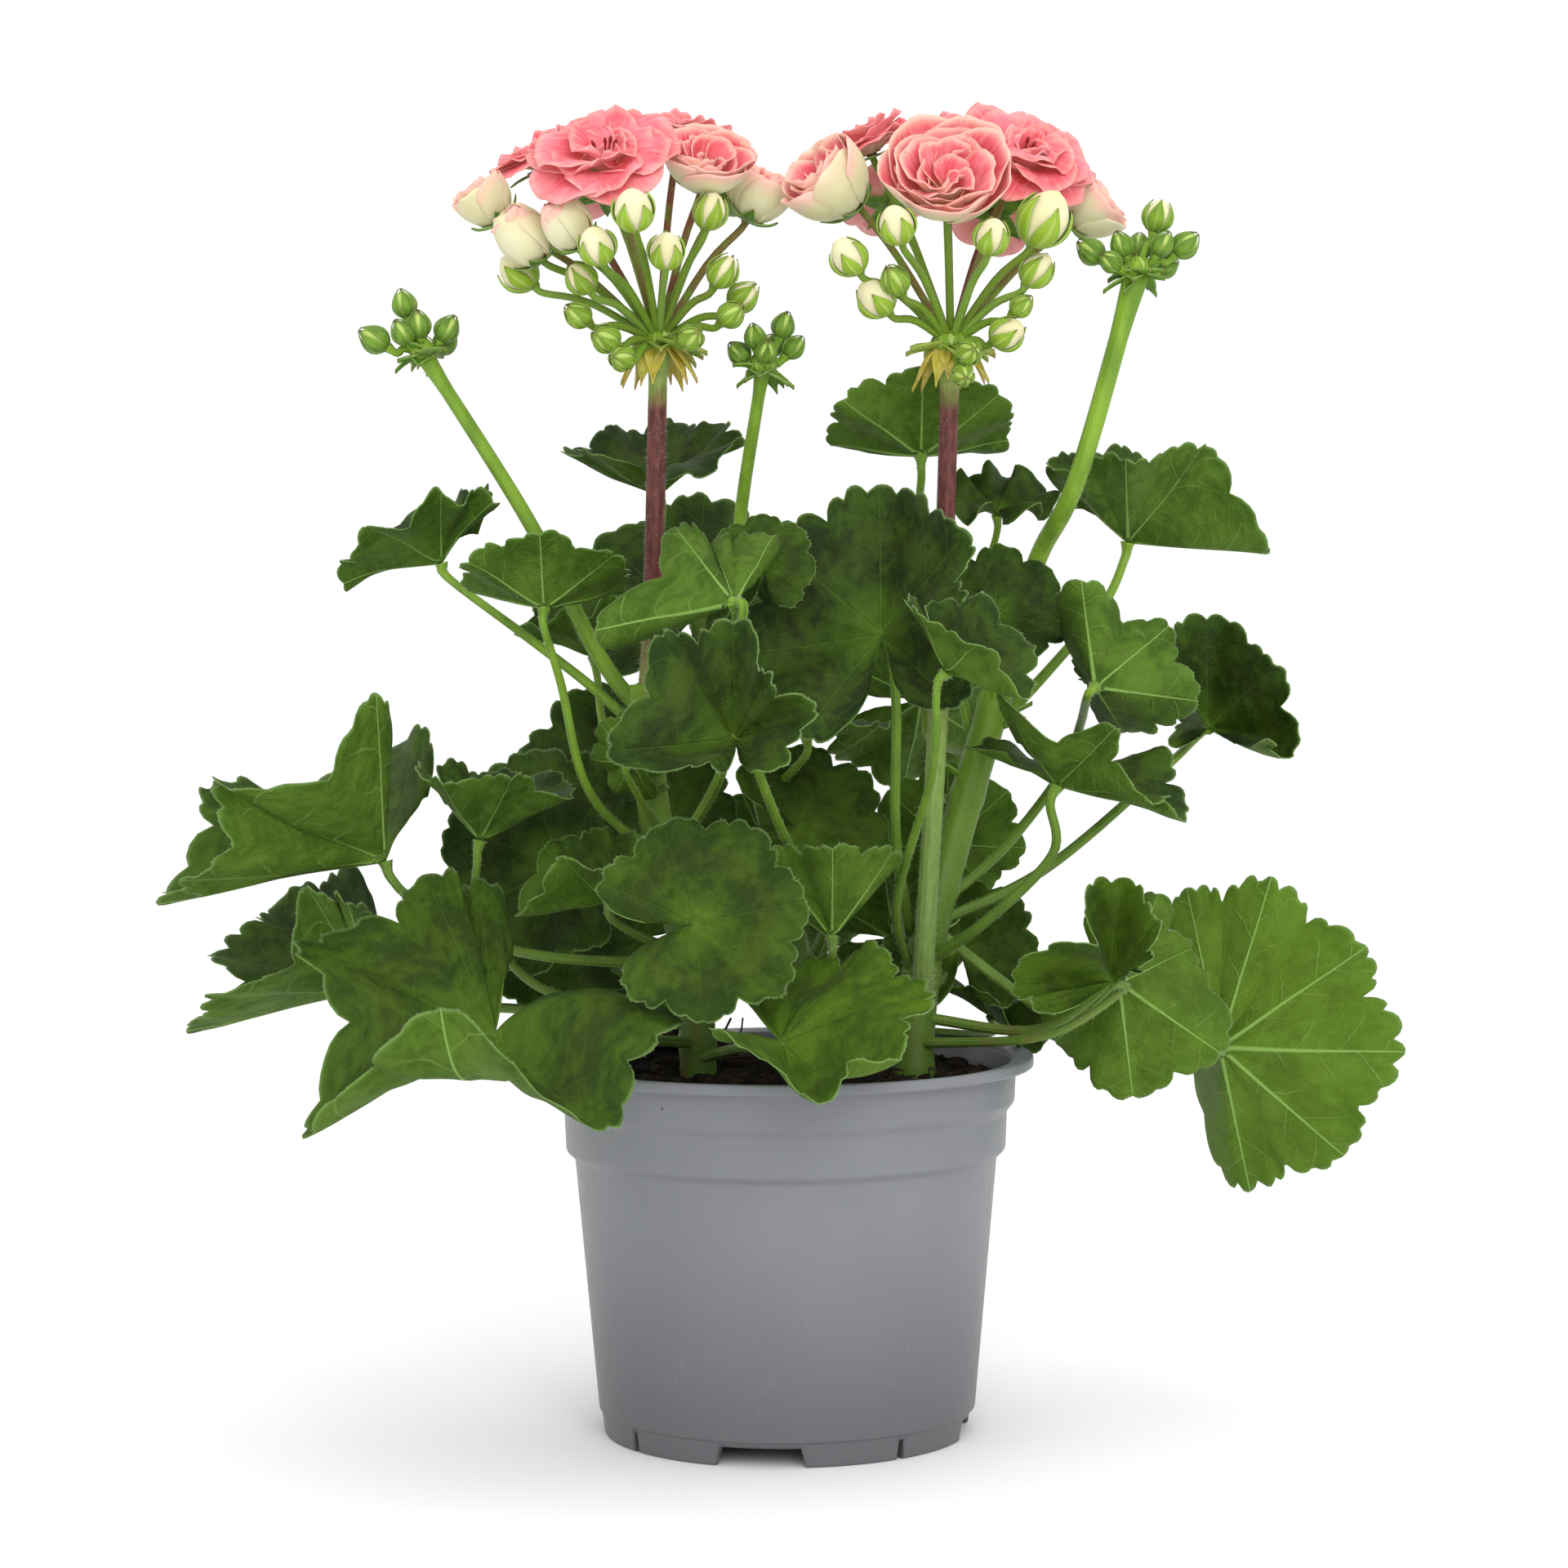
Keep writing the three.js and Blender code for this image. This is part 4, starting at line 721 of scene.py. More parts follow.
def add_bud(greens, creams, centre, axis, radius, length, cream, seed, pale=0.35):
    """A round bud with a short beak. Five sepals clasp it; where it opens, cream petals swell
    out between and above them. Tight buds are less pale, and their sepals meet."""
    rng = np.random.default_rng(seed)
    across, beside, axis = turned_frame(axis)
    turn = rng.uniform(0, 6.28)

    def skin_point(s, angle, swell):
        belly = np.sin(np.pi * np.clip(s, 0, 1) ** 0.92) ** 0.62
        radial = np.cos(angle)[..., None] * across + np.sin(angle)[..., None] * beside
        return centre + axis * (length * (s - 0.5))[..., None] + radial * (radius * swell * belly)[..., None]

    s, angle = ball_grid(13, 24)
    seam = 1 - 0.05 * np.abs(np.sin(2.5 * (angle + s * 1.6))) ** 0.4 * (s > 0.3)
    heart, shade = (creams, 0.95) if cream > 0 else (greens, 2.0)
    heart.add_round(skin_point(s, angle, 0.95 * seam), paint=np.dstack([s, 0 * s, 0 * s]), tone=shade)
    for k in range(5):
        w, s = np.meshgrid(np.linspace(-1, 1, 7), np.linspace(0, 1, 11), indexing="ij")
        reach = 1 - 0.2 * cream * rng.uniform(0.7, 1.1)
        narrow = (0.98 - 0.2 * pale + 0.03 * cream) * (1 - s ** (3.2 - 1.1 * cream))
        flare = 1.02 + 0.05 * (1 - w**2) + 0.1 * s**5 * cream * rng.uniform(0.3, 1.4)
        surface = skin_point(s * reach * 0.98 + 0.01, turn + FIFTH * k + w * (0.62 * narrow + 0.01), flare)
        surface = surface + axis * (0.1 * length * (1 - cream) * s**6)[..., None]
        add_sheet(greens, surface, BUD_SEPAL_THICKNESS, (s, w), (w * radius, s * length), rng.uniform(),
                  pale + 0.3 * cream)


def add_bract(skin, hub, direction, length, width, droop, rng, tone):
    """A pointed, cupped scale below a flower head."""
    direction = unit(direction)
    sideways = unit(np.cross(direction, UP))
    s, w = np.meshgrid(np.linspace(0, 1, 10), np.linspace(-1, 1, 7), indexing="ij")
    half_width = width * np.sin(np.pi * np.clip(s, 0.04, 1) ** 0.75) ** 0.7 * (1 - s**4) + 0.05
    fall = -droop * s**2 + 0.4 * width * w**2 + 0.15 * np.sin(5 * s + rng.uniform(0, 6))
    surface = (
        hub
        + direction * (length * s)[..., None]
        + sideways * (w * half_width)[..., None]
        + UP * fall[..., None]
    )
    add_sheet(skin, surface, BRACT_THICKNESS, (s, w), (w * width, s * length), 0.3, tone)


def add_pedicel(skin, hairs, hub, end, axis, rng, tone):
    """A pedicel leaves the hub steeply and bends over to its flower."""
    span = np.linalg.norm(end - hub)
    bend = hub + (end - hub) * 0.55 + UP * 0.06 * span
    path = smooth_path([hub, bend, end - axis * 3, end], 12)
    radius = PEDICEL_RADIUS * taper((1.15, 0.95), len(path), 1.1, 1.35, 1.7)
    add_tube(skin, path, radius, 8, rng.uniform(), tone)
    hairs_along(hairs, path, radius, int(span * 3), 0.6, rng)


def add_stalk(skin, hairs, stalk, seed, rng, sides, hair_count, hair_length, tip):
    """The stalk of a flower head. Gives back its top, where the pedicels meet."""
    route, ends = stalk
    path = smooth_path(route, 40)
    radius = taper(ends, len(path), *tip)
    add_tube(skin, path, radius, sides, seed, 0.0)
    hairs_along(hairs, path, radius, hair_count, hair_length, rng)
    return np.asarray(route[-1], float)


def add_umbel(side, seed):
    """One flower head: petals, and the greens that carry them."""
    rng = np.random.default_rng(seed)
    bars, greens, creams, bracts, hairs = Skin(), Skin(), Skin(), Skin(), Skin()
    hub = add_stalk(bars, hairs, FLOWER_STALKS[side], seed, rng, sides=20, hair_count=900,
                    hair_length=1.3, tip=(1.0, 1.05, 1.15, 1.25))
    add_bud(greens, creams, hub + UP * 0.5, UP, 5, 8, 0, seed)

    for k, bloom in enumerate(BLOOMS[side], 1):
        petals = Skin()
        axis = unit(bloom[1])
        add_bloom(petals, greens, *bloom, seed + k)
        petals.build(f"petals_{side}_{k}", PETAL, "petal", f"bloom_{side}_{k}")
        end = bloom_base(*bloom) - axis * 0.6
        add_pedicel(bars, hairs, hub, end, axis, rng, rng.choice([0.15, 0.7, 1.0]))
    for bud_seed, (x, y, z, size) in enumerate(FLOWER_BUDS[side], seed + 40):
        centre = np.array([x, y, z], float)
        axis = unit(unit(centre - hub) + UP * 0.3)
        cream = np.clip((size - 3.7) / 1.1, 0, 1)
        length = BUD_LENGTH * size
        foot = centre - axis * length * 0.46
        if size > LARGEST_BUD:
            face = foot + axis * BLOOM_DEPTH["young"] * size
            add_bloom(creams, greens, face, axis, size, "young", bud_seed)
        else:
            add_bud(greens, creams, centre, axis, size, length, cream, bud_seed)
        add_pedicel(bars, hairs, hub, foot, axis, rng, rng.uniform(0.05, 0.25))
    for k in range(20):
        hanging = k % 2
        out = spoke(k * GOLDEN_TURN, -0.9 * hanging + rng.uniform(-0.3, 0.2))
        start = hub + out * [3, 3, 0] - UP
        length, width = rng.uniform(7.5, 10.5), rng.uniform(2.4, 3.4)
        tone = 0.5 * hanging + rng.uniform(0.1, 0.5)
        add_bract(bracts, start, out, length, width, rng.uniform(1.5, 3) + 1.5 * hanging, rng, tone)

    for skin, name, material in ((bars, "stalk_and_pedicels", STALK), (greens, "sepals", SEPAL),
                                 (creams, "bud_petals", PETAL), (bracts, "bracts", BRACT),
                                 (hairs, "stalk_hairs", HAIR)):
        skin.build(f"{name}_{side}", material, "flower_stalk", f"flower_stalk_{side}")


def add_bud_head(side, seed):
    """A young head: tight green buds on short pedicels over a ruff of broad bracts."""
    rng = np.random.default_rng(seed)
    bars, greens, creams, hairs = Skin(), Skin(), Skin(), Skin()
    hub = add_stalk(bars, hairs, BUD_STALKS[side], seed, rng, sides=16, hair_count=700,
                    hair_length=1.1, tip=(1.0, 1.1, 1.25, 1.4))
    add_bud(greens, creams, hub + UP, UP, 3.6, 7, 0, seed)
    for bud_seed, (x, y, z, size) in enumerate(HEAD_BUDS[side], seed):
        centre = hub + [x, y, z]
        axis = unit(unit(centre - hub) + UP * 0.3)
        cream = np.clip((size - 3.6) / 0.5, 0, 0.7)
        length = BUD_LENGTH * size
        add_bud(greens, creams, centre, axis, size, length, cream, bud_seed, pale=0.06)
        add_pedicel(bars, hairs, hub, centre - axis * length * 0.46, axis, rng, 0.0)
        roots = centre + axis * rng.uniform(-1, 1, (30, 1)) * size
        out = unit(np.cross(axis, rng.normal(0, 1, (30, 3))))
        add_hairs(hairs, roots + out * size * 0.9, out, 0.8, rng)
    for k in range(13):
        out = spoke(k * GOLDEN_TURN + seed, rng.uniform(-0.5, 0.7))
        length, width, droop = rng.uniform(7, 9.5), rng.uniform(2.2, 3), rng.uniform(0, 3)
        add_bract(greens, hub - UP * 0.5, out, length, width, droop, rng, 0.0)

    for skin, name, material in ((bars, "bud_stalk", STEM), (greens, "green_buds", SEPAL),
                                 (creams, "young_petals", PETAL), (hairs, "bud_hairs", HAIR)):
        if skin.count:
            skin.build(f"{name}_{side}", material, "bud_head", f"bud_head_{side}")


# Pot and soil


def rounded(points, fillet):
    """An outline with each inner corner cut by a short curve."""
    points = [np.asarray(p, float) for p in points]
    curve = [points[0]]
    for before, corner, after in zip(points, points[1:], points[2:]):
        cut = min(fillet, np.linalg.norm(before - corner) * 0.45, np.linalg.norm(after - corner) * 0.45)
        start = corner + unit(before - corner) * cut
        end = corner + unit(after - corner) * cut
        for u in (0, 0.25, 0.5, 0.75, 1):
            curve.append(start * (1 - u) ** 2 + corner * 2 * u * (1 - u) + end * u**2)
    return np.array([*curve, points[-1]])


def foot_openings():
    """The middle, half angle and slope of each notch and slit in the foot ring, in degrees."""
    openings = []
    for quarter in range(4):
        for width, offset, slope in ((FOOT_NOTCH_WIDTH, 0, 1.6), (FOOT_SLIT_WIDTH, 45, 0.4)):
            half = math.degrees(math.asin(width / 2 / POT_FOOT_RADIUS))
            openings.append((FOOT_NOTCH_TURN + 90 * quarter + offset, half, slope))
    return openings


def build_pot():
    """A turned wall whose foot ring is opened by notches and slits."""
    foot, floor, wall = POT_FOOT_RADIUS, POT_FLOOR_HEIGHT, POT_WALL
    under_floor, under_rim = floor - wall, POT_HEIGHT - POT_RIM_DEPTH
    outline = rounded([
        (0.1, under_floor), (foot - FOOT_RING_WIDTH - 1.5, under_floor),
        (foot - FOOT_RING_WIDTH, 0), (foot, 0),
        (foot + 0.8, FOOT_RING_HEIGHT - 0.1), (foot + 1.4, FOOT_RING_HEIGHT + 0.1),
        (SHOULDER_RADIUS, SHOULDER_HEIGHT + 0.6), (COLLAR_RADIUS, SHOULDER_HEIGHT + 2.6),
        (COLLAR_RADIUS + 0.4, COLLAR_HEIGHT - 0.4), (NECK_RADIUS + 0.4, NECK_HEIGHT - 1),
        (NECK_RADIUS + 0.8, under_rim - 0.4), (POT_RIM_RADIUS, under_rim), (POT_RIM_RADIUS, POT_HEIGHT),
        (NECK_RADIUS + 0.8 - wall, POT_HEIGHT - 1), (NECK_RADIUS - wall, NECK_HEIGHT),
        (COLLAR_RADIUS - wall, COLLAR_HEIGHT), (SHOULDER_RADIUS - wall, SHOULDER_HEIGHT),
        (foot + 0.2, floor), (0.1, floor),
    ], POT_EDGE_ROUNDING)
    openings = foot_openings()
    edges = [middle + sign * (half + grow * slope)
             for middle, half, slope in openings for sign in (-1, 1) for grow in (-0.5, 0.5)]
    turn = np.unique(np.round(np.mod([*np.linspace(0, 360, 180, endpoint=False), *edges], 360), 4))
    opened = np.zeros_like(turn)
    for middle, half, slope in openings:
        away = np.abs((turn - middle + 180) % 360 - 180)
        opened = np.maximum(opened, np.clip((half + slope / 2 - away) / slope, 0, 1))
    angle = np.radians(turn)[None]
    radius, height = outline[:, :1], outline[:, 1:]
    in_ring = (radius > foot - 5) & (height < FOOT_NOTCH_HEIGHT)
    z = height + (FOOT_NOTCH_HEIGHT - height) * in_ring * opened[None]
    pot = Skin()
    pot.add_round(np.dstack([radius * np.sin(angle), -radius * np.cos(angle), z]), capped=True)
    pot.build("nursery_pot", POT, "pot", "pot")


def soil_ground(x, y):
    """The level of the peat without its clumps: a mound at the back left."""
    away = (x - SOIL_MOUND_X) ** 2 + (y - SOIL_MOUND_Y) ** 2
    return SOIL_LEVEL + SOIL_MOUND * np.exp(-away / SOIL_MOUND_SPREAD)


def soil_height(x, y, rng):
    """The top of the peat: the mound with hollows and clumps."""
    waves = 0.9 * np.sin(x * 0.31 + 1) * np.cos(y * 0.27) + 0.6 * np.sin(x * 0.63 - y * 0.51)
    clumps = np.zeros_like(x)
    for _ in range(SOIL_CLUMPS):
        cx, cy = rng.uniform(-58, 58, 2)
        size = rng.uniform(0.9, 2.8)
        clumps = np.maximum(clumps, size * 0.8 * np.exp(-((x - cx) ** 2 + (y - cy) ** 2) / size**2))
    return soil_ground(x, y) + waves + clumps


def spot_on_soil(reach, rng):
    """A chance place within reach of the pot's axis, and the ground's level there."""
    r, turn = reach * math.sqrt(rng.uniform()), rng.uniform(0, 2 * np.pi)
    x, y = r * math.sin(turn), r * math.cos(turn)
    return np.array([x, y, soil_ground(x, y)])


def add_lump(skin, s, turn, rng):
    """A loose grain of peat."""
    spot = spot_on_soil(reach=56, rng=rng)
    size = rng.uniform(0.7, 2.4)
    bump = size * (1 + rng.normal(0, 0.16, s.shape))
    lump = np.dstack([
        bump * np.sin(np.pi * s) * np.cos(turn) * rng.uniform(0.8, 1.6),
        bump * np.sin(np.pi * s) * np.sin(turn),
        bump * np.cos(np.pi * s) * 0.8,
    ])
    lump[0], lump[-1] = lump[0, 0], lump[-1, 0]
    skin.add_round(lump + spot + UP * size * 0.5, tone=rng.uniform())


def add_fibre(skin, rng):
    """A loose fibre that lies on the peat."""
    start = spot_on_soil(reach=54, rng=rng) + UP * rng.uniform(0.5, 2.5)
    way = unit(rng.normal(0, 1, 3) * [1, 1, 0.3]) * rng.uniform(3, 8)
    bend = rng.normal(0, 0.8, 3)
    path = smooth_path([start, start + way / 2 + bend, start + way], 6)
    add_tube(skin, path, rng.uniform(0.15, 0.4), 5, 0, rng.uniform(0.5, 1))


def build_soil():
    """Peat with a clumpy top, a plain body below it, and loose grains and fibres."""
    rng = np.random.default_rng(7)
    inset = POT_WALL + SOIL_GAP
    bottom = POT_FLOOR_HEIGHT + SOIL_GAP
    skin = Skin()
    angle = np.linspace(0, 2 * np.pi, 150, endpoint=False)[None]
    reach = (NECK_RADIUS - inset) * np.linspace(0.002, 1, 64)[:, None]
    x, y = reach * np.sin(angle), reach * np.cos(angle)
    below = [(NECK_RADIUS - inset, NECK_HEIGHT), (COLLAR_RADIUS - inset, COLLAR_HEIGHT),
             (SHOULDER_RADIUS - inset, SHOULDER_HEIGHT), (POT_FOOT_RADIUS - SOIL_GAP, bottom), (0.1, bottom)]
    rings = [np.dstack([r * np.sin(angle), r * np.cos(angle), z + 0 * angle]) for r, z in below]
    skin.add_round(np.concatenate([np.dstack([x, y, soil_height(x, y, rng)]), *rings]), capped=True)
    s, turn = ball_grid(6, 8)
    for _ in range(SOIL_GRAINS):
        add_lump(skin, s, turn, rng)
    for _ in range(SOIL_FIBRES):
        add_fibre(skin, rng)
    skin.build("peat", PEAT, "soil", "soil")

# Materials


class Value:
    """A number or colour that varies over a surface. Sums, differences and products of values
    are values too."""

    def __init__(self, shade, socket):
        self.shade, self.socket = shade, socket

    def __add__(self, other):
        return self.shade.math("ADD", self, other)

    def __sub__(self, other):
        return self.shade.math("SUBTRACT", self, other)

    def __mul__(self, other):
        return self.shade.math("MULTIPLY", self, other)

    def __abs__(self):
        return self.shade.math("ABSOLUTE", self)


class Shade:
    """Builds one material. The sizes of noise and bumps are in millimetres, and heights above
    the ground in metres."""

    def __init__(self, name, roughness=0.5):
        self.material = bpy.data.materials.new(name)
        self.material.use_nodes = True
        self.tree = self.material.node_tree
        self.shader = self.tree.nodes["Principled BSDF"]
        self.shader.inputs["Roughness"].default_value = roughness

    def node(self, kind, output=0, inputs=(), **settings):
        made = self.tree.nodes.new(kind)
        for key, value in settings.items():
            setattr(made, key, value)
        for key, value in dict(inputs).items():
            if isinstance(value, Value):
                self.tree.links.new(value.socket, made.inputs[key])
            else:
                made.inputs[key].default_value = value
        return Value(self, made.outputs[output])

    def math(self, operation, first, second=0.0):
        return self.node("ShaderNodeMath", 0, {0: first, 1: second}, operation=operation)

    def parts(self, vector):
        return [self.node("ShaderNodeSeparateXYZ", axis, {0: vector}) for axis in range(3)]

    def attribute(self, name):
        return self.parts(self.node("ShaderNodeAttribute", "Vector", attribute_name=name))

    def tone(self):
        return self.node("ShaderNodeAttribute", "Fac", attribute_name="tone")

    def height_above_ground(self):
        return self.parts(self.node("ShaderNodeTexCoord", "Object"))[2]

    def smooth(self, value, low, high):
        """0 at the first limit and 1 at the second, whichever is the larger."""
        inputs = {"Value": value, "From Min": low, "From Max": high}
        return self.node("ShaderNodeMapRange", 0, inputs, interpolation_type="SMOOTHSTEP")

    def mix(self, share, first, second):
        first, second = (colour if isinstance(colour, Value) else (*colour, 1) for colour in (first, second))
        return self.node("ShaderNodeMix", 2, {0: share, 6: first, 7: second}, data_type="RGBA")

    def plane(self, x, y, seed):
        """The place on a flat leaf or petal, with a layer of its own for each seed."""
        return self.node("ShaderNodeCombineXYZ", 0, {0: x, 1: y, 2: seed})

    def pattern(self, place, scale, detail):
        return self.node("ShaderNodeTexNoise", 0, {"Vector": place, "Scale": scale, "Detail": detail})

    def cells(self, place, scale):
        """The distance to the nearest edge in a net of cells."""
        inputs = {"Vector": place, "Scale": scale}
        return self.node("ShaderNodeTexVoronoi", "Distance", inputs, feature="DISTANCE_TO_EDGE")

    def noise(self, size, detail=3.0, upright=1.0):
        """Noise in lumps of that size; a small upright share draws them out along Z."""
        spot = self.node("ShaderNodeTexCoord", "Object")
        place = self.node("ShaderNodeMapping", 0, {"Vector": spot, "Scale": (1, 1, upright)})
        return self.pattern(place, 1 / (size * MM), detail)

    def height(self, value, depth, before=None):
        """Bumps of that depth, on top of the bumps made before."""
        inputs = {"Height": value, "Distance": depth * MM, "Strength": 1.0}
        if before:
            inputs["Normal"] = before
        return self.node("ShaderNodeBump", 0, inputs)

    def finish(self, colour, normal=None, roughness=None, painted_glow=None, **values):
        """Joins up the shader. The painted glow is emission that stands in for light coming through thin
        petals.
        """
        links = {"Base Color": colour, "Normal": normal, "Roughness": roughness, "Emission Color": painted_glow}
        for key, value in links.items():
            if value:
                self.tree.links.new(value.socket, self.shader.inputs[key])
        for key, value in values.items():
            self.shader.inputs[key.replace("_", " ")].default_value = value
        return self.material


def leaf_material(name, zone):
    """Deep green above with light veins and a faint zone, paler and ribbed below, hairy."""
    s = Shade(name)
    turn, t, upper = s.attribute("paint")
    x, y, seed = s.attribute("flat")
    fresh = s.tone()
    place = s.plane(x, y, seed * 400.0)

    # Veins: seven main ones, branches at an angle to them, and a net between the branches
    offset = turn - s.math("ROUND", turn)
    lateral = abs(offset) * (t * math.radians(VEIN_STEP))
    width = t * -0.013 + 0.022
    main = s.smooth(lateral, width, width * 0.3)
    wander = (s.pattern(place, 0.16, 2.0) - 0.5) * 0.06
    branch = (lateral * -0.9 + (t + wander)) * 4.2 + s.math("SIGN", offset) * 0.25
    from_line = abs(s.math("FRACT", branch) - 0.5)
    side = s.smooth(from_line, 0.05, 0.01) * s.smooth(t, 0.16, 0.24) * s.smooth(abs(offset), 0.42, 0.2)
    net = s.smooth(s.cells(place, 0.3), 0.09, 0.01) * s.smooth(t, 0.15, 0.3)
    ribs = s.math("MAXIMUM", s.math("MAXIMUM", main, side * 0.7), net * 0.28)

    patch = (s.pattern(place, 0.3, 4.0) - 0.5) * 0.6 + s.pattern(place, 0.07, 3.0)
    deep = s.mix(s.smooth(patch, 0.35, 0.7), (0.009, 0.024, 0.002), (0.034, 0.07, 0.005))
    light = s.mix(s.smooth(patch, 0.3, 0.7), (0.038, 0.09, 0.003), (0.085, 0.165, 0.007))
    above = s.mix(fresh, deep, light)
    above = s.mix(s.smooth(t, 0.45, 0.03) * 0.5, above, (0.1, 0.19, 0.012))
    ring = s.smooth(t, 0.42, 0.6) * s.smooth(t, 0.84, 0.66)
    above = s.mix(ring * zone, above, (0.05, 0.02, 0.008))
    above = s.mix(ribs * 0.22, above, (0.09, 0.18, 0.02))
    below = s.mix(s.smooth(patch, 0.3, 0.7), (0.036, 0.084, 0.005), (0.082, 0.158, 0.015))
    below = s.mix(fresh * 0.35, below, (0.13, 0.24, 0.012))
    below = s.mix(net * 0.12, below, (0.15, 0.25, 0.04))
    below = s.mix(side * 0.4, below, (0.18, 0.3, 0.06))
    below = s.mix(main * 0.85, below, (0.22, 0.38, 0.08))
    colour = s.mix(upper, below, above)
    colour = s.mix(s.smooth(t, 0.975, 1.0) * 0.5, colour, (0.2, 0.33, 0.1))
    down = s.pattern(place, 4.0, 2.0)
    colour = s.mix(s.smooth(down, 0.6, 0.85) * 0.06, colour, (0.3, 0.42, 0.22))

    raised = ribs * (upper * -1.6 + 1.0)
    grain = s.smooth(s.cells(place, 0.9), 0.0, 0.25) * 0.2
    normal = s.height(down, 0.1, s.height(raised + grain, 0.35))
    return s.finish(colour, normal, upper * -0.1 + 0.7, Subsurface_Weight=0.06,
                    Subsurface_Scale=0.0015, Subsurface_Radius=(0.35, 1.0, 0.12), Specular_IOR_Level=0.14,
                    Sheen_Weight=0.02, Sheen_Roughness=0.4, Sheen_Tint=(0.75, 0.85, 0.6, 1))


def petal_material():
    """Rose pink inside; cream outside and along the edge on the cup-shaped flowers."""
    s = Shade("petal", 0.55)
    along, across, inner = s.attribute("paint")
    x, y, seed = s.attribute("flat")
    cream = s.tone()
    streak = s.pattern(s.plane(x, y * 0.12, seed * 90.0), 1.1, 3.0)
    cloud = s.noise(9.0, detail=2.0)
    rose = s.mix(s.smooth(cloud, 0.35, 0.65), (0.7, 0.085, 0.115), (0.8, 0.2, 0.24))
    rose = s.mix(s.smooth(streak, 0.45, 0.75) * 0.35, rose, (0.92, 0.45, 0.46))
    rose = s.mix(s.smooth(along, 0.4, 0.0), rose, (0.84, 0.62, 0.38))
    shell = s.mix(s.smooth(cloud, 0.3, 0.7), (0.64, 0.6, 0.34), (0.7, 0.66, 0.43))
    shell = s.mix(s.smooth(along, 0.2, 0.0), shell, (0.66, 0.72, 0.3))
    blush = s.smooth(along + streak * 0.4, 0.85, 1.25) * s.smooth(cream, 0.94, 0.9)
    outside = s.mix(blush * 0.85, shell, (0.9, 0.4, 0.38))
    outside = s.mix(s.smooth(cream, 0.12, 0.35), s.mix(0.35, rose, (0.9, 0.55, 0.5)), outside)
    edge = s.smooth(s.math("MAXIMUM", abs(across), along), 0.82, 1.0)
    inside = s.mix(edge * (cream * 0.7 + 0.25), rose, (0.87, 0.6, 0.44))
    inside = s.mix(s.smooth(cream, 0.9, 1.0), inside, shell)
    colour = s.mix(inner, outside, inside)
    stamen = s.smooth(cream, 1.4, 1.6)
    colour = s.mix(stamen, colour, (0.2, 0.015, 0.012))
    # Painted glow: the petals emit a little of their colour, deeper orange-red towards the base on the
    # inside, standing in for light that comes through them.
    painted_glow = s.mix(inner * s.smooth(along, 1.0, 0.2), colour, (1.0, 0.2, 0.1))
    return s.finish(colour, s.height(streak, 0.08), None, painted_glow, Emission_Strength=0.06,
                    Subsurface_Weight=0.2, Subsurface_Scale=0.002, Subsurface_Radius=(1.0, 0.8, 0.7),
                    Specular_IOR_Level=0.2, Sheen_Weight=0.04, Sheen_Roughness=0.5,
                    Sheen_Tint=(1, 0.85, 0.85, 1))


def sepal_material():
    """Green sepals with a lighter middle and edge and a browned tip; paler on open buds."""
    s = Shade("sepal")
    along, across, _ = s.attribute("paint")
    pale = s.tone()
    green = s.mix(s.smooth(s.noise(3.0), 0.35, 0.7), (0.07, 0.165, 0.008), (0.125, 0.25, 0.014))
    green = s.mix(pale, green, (0.34, 0.5, 0.03))
    green = s.mix(s.smooth(pale, 1.2, 1.6), green, (0.48, 0.56, 0.19))
    middle = s.smooth(abs(across), 0.35, 0.0)
    green = s.mix(middle * (pale * 0.9 + 0.05), green, (0.42, 0.56, 0.12))
    green = s.mix(s.smooth(abs(across), 0.75, 1.0) * 0.3, green, (0.45, 0.56, 0.2))
    green = s.mix(s.smooth(along, 0.9, 1.0) * 0.5, green, (0.2, 0.1, 0.05))
    normal = s.height(s.noise(0.5), 0.1, s.height(middle, 0.25))
    return s.finish(green, normal, Subsurface_Weight=0.12, Subsurface_Scale=0.0015,
                    Subsurface_Radius=(0.4, 1.0, 0.15), Sheen_Weight=0.05, Sheen_Roughness=0.4,
                    Specular_IOR_Level=0.3)


def stem_material():
    """Fresh green with fine lengthways ribs, olive and browner near the soil."""
    s = Shade("stem", 0.48)
    _, around, _ = s.attribute("paint")
    fresh = s.tone()
    z = s.height_above_ground()
    cloud = s.noise(6.0, upright=0.25)
    green = s.mix(s.smooth(cloud, 0.3, 0.7), (0.115, 0.23, 0.012), (0.2, 0.35, 0.022))
    green = s.mix(s.smooth(z, 0.21, 0.12) * 0.72, green, (0.05, 0.1, 0.012))
    rust = s.smooth(z, 0.13, 0.095) * s.smooth(cloud, 0.5, 0.75)
    green = s.mix(rust * 0.7, green, (0.14, 0.075, 0.035))
    green = s.mix(fresh * 0.25, green, (0.3, 0.45, 0.1))
    ribs = s.math("SINE", around * 56.5)
    normal = s.height(s.noise(0.6, upright=0.3), 0.12, s.height(ribs, 0.05))
    return s.finish(green, normal, Subsurface_Weight=0.1, Subsurface_Scale=0.002,
                    Subsurface_Radius=(0.4, 1.0, 0.15), Sheen_Weight=0.03, Sheen_Roughness=0.4,
                    Specular_IOR_Level=0.3)


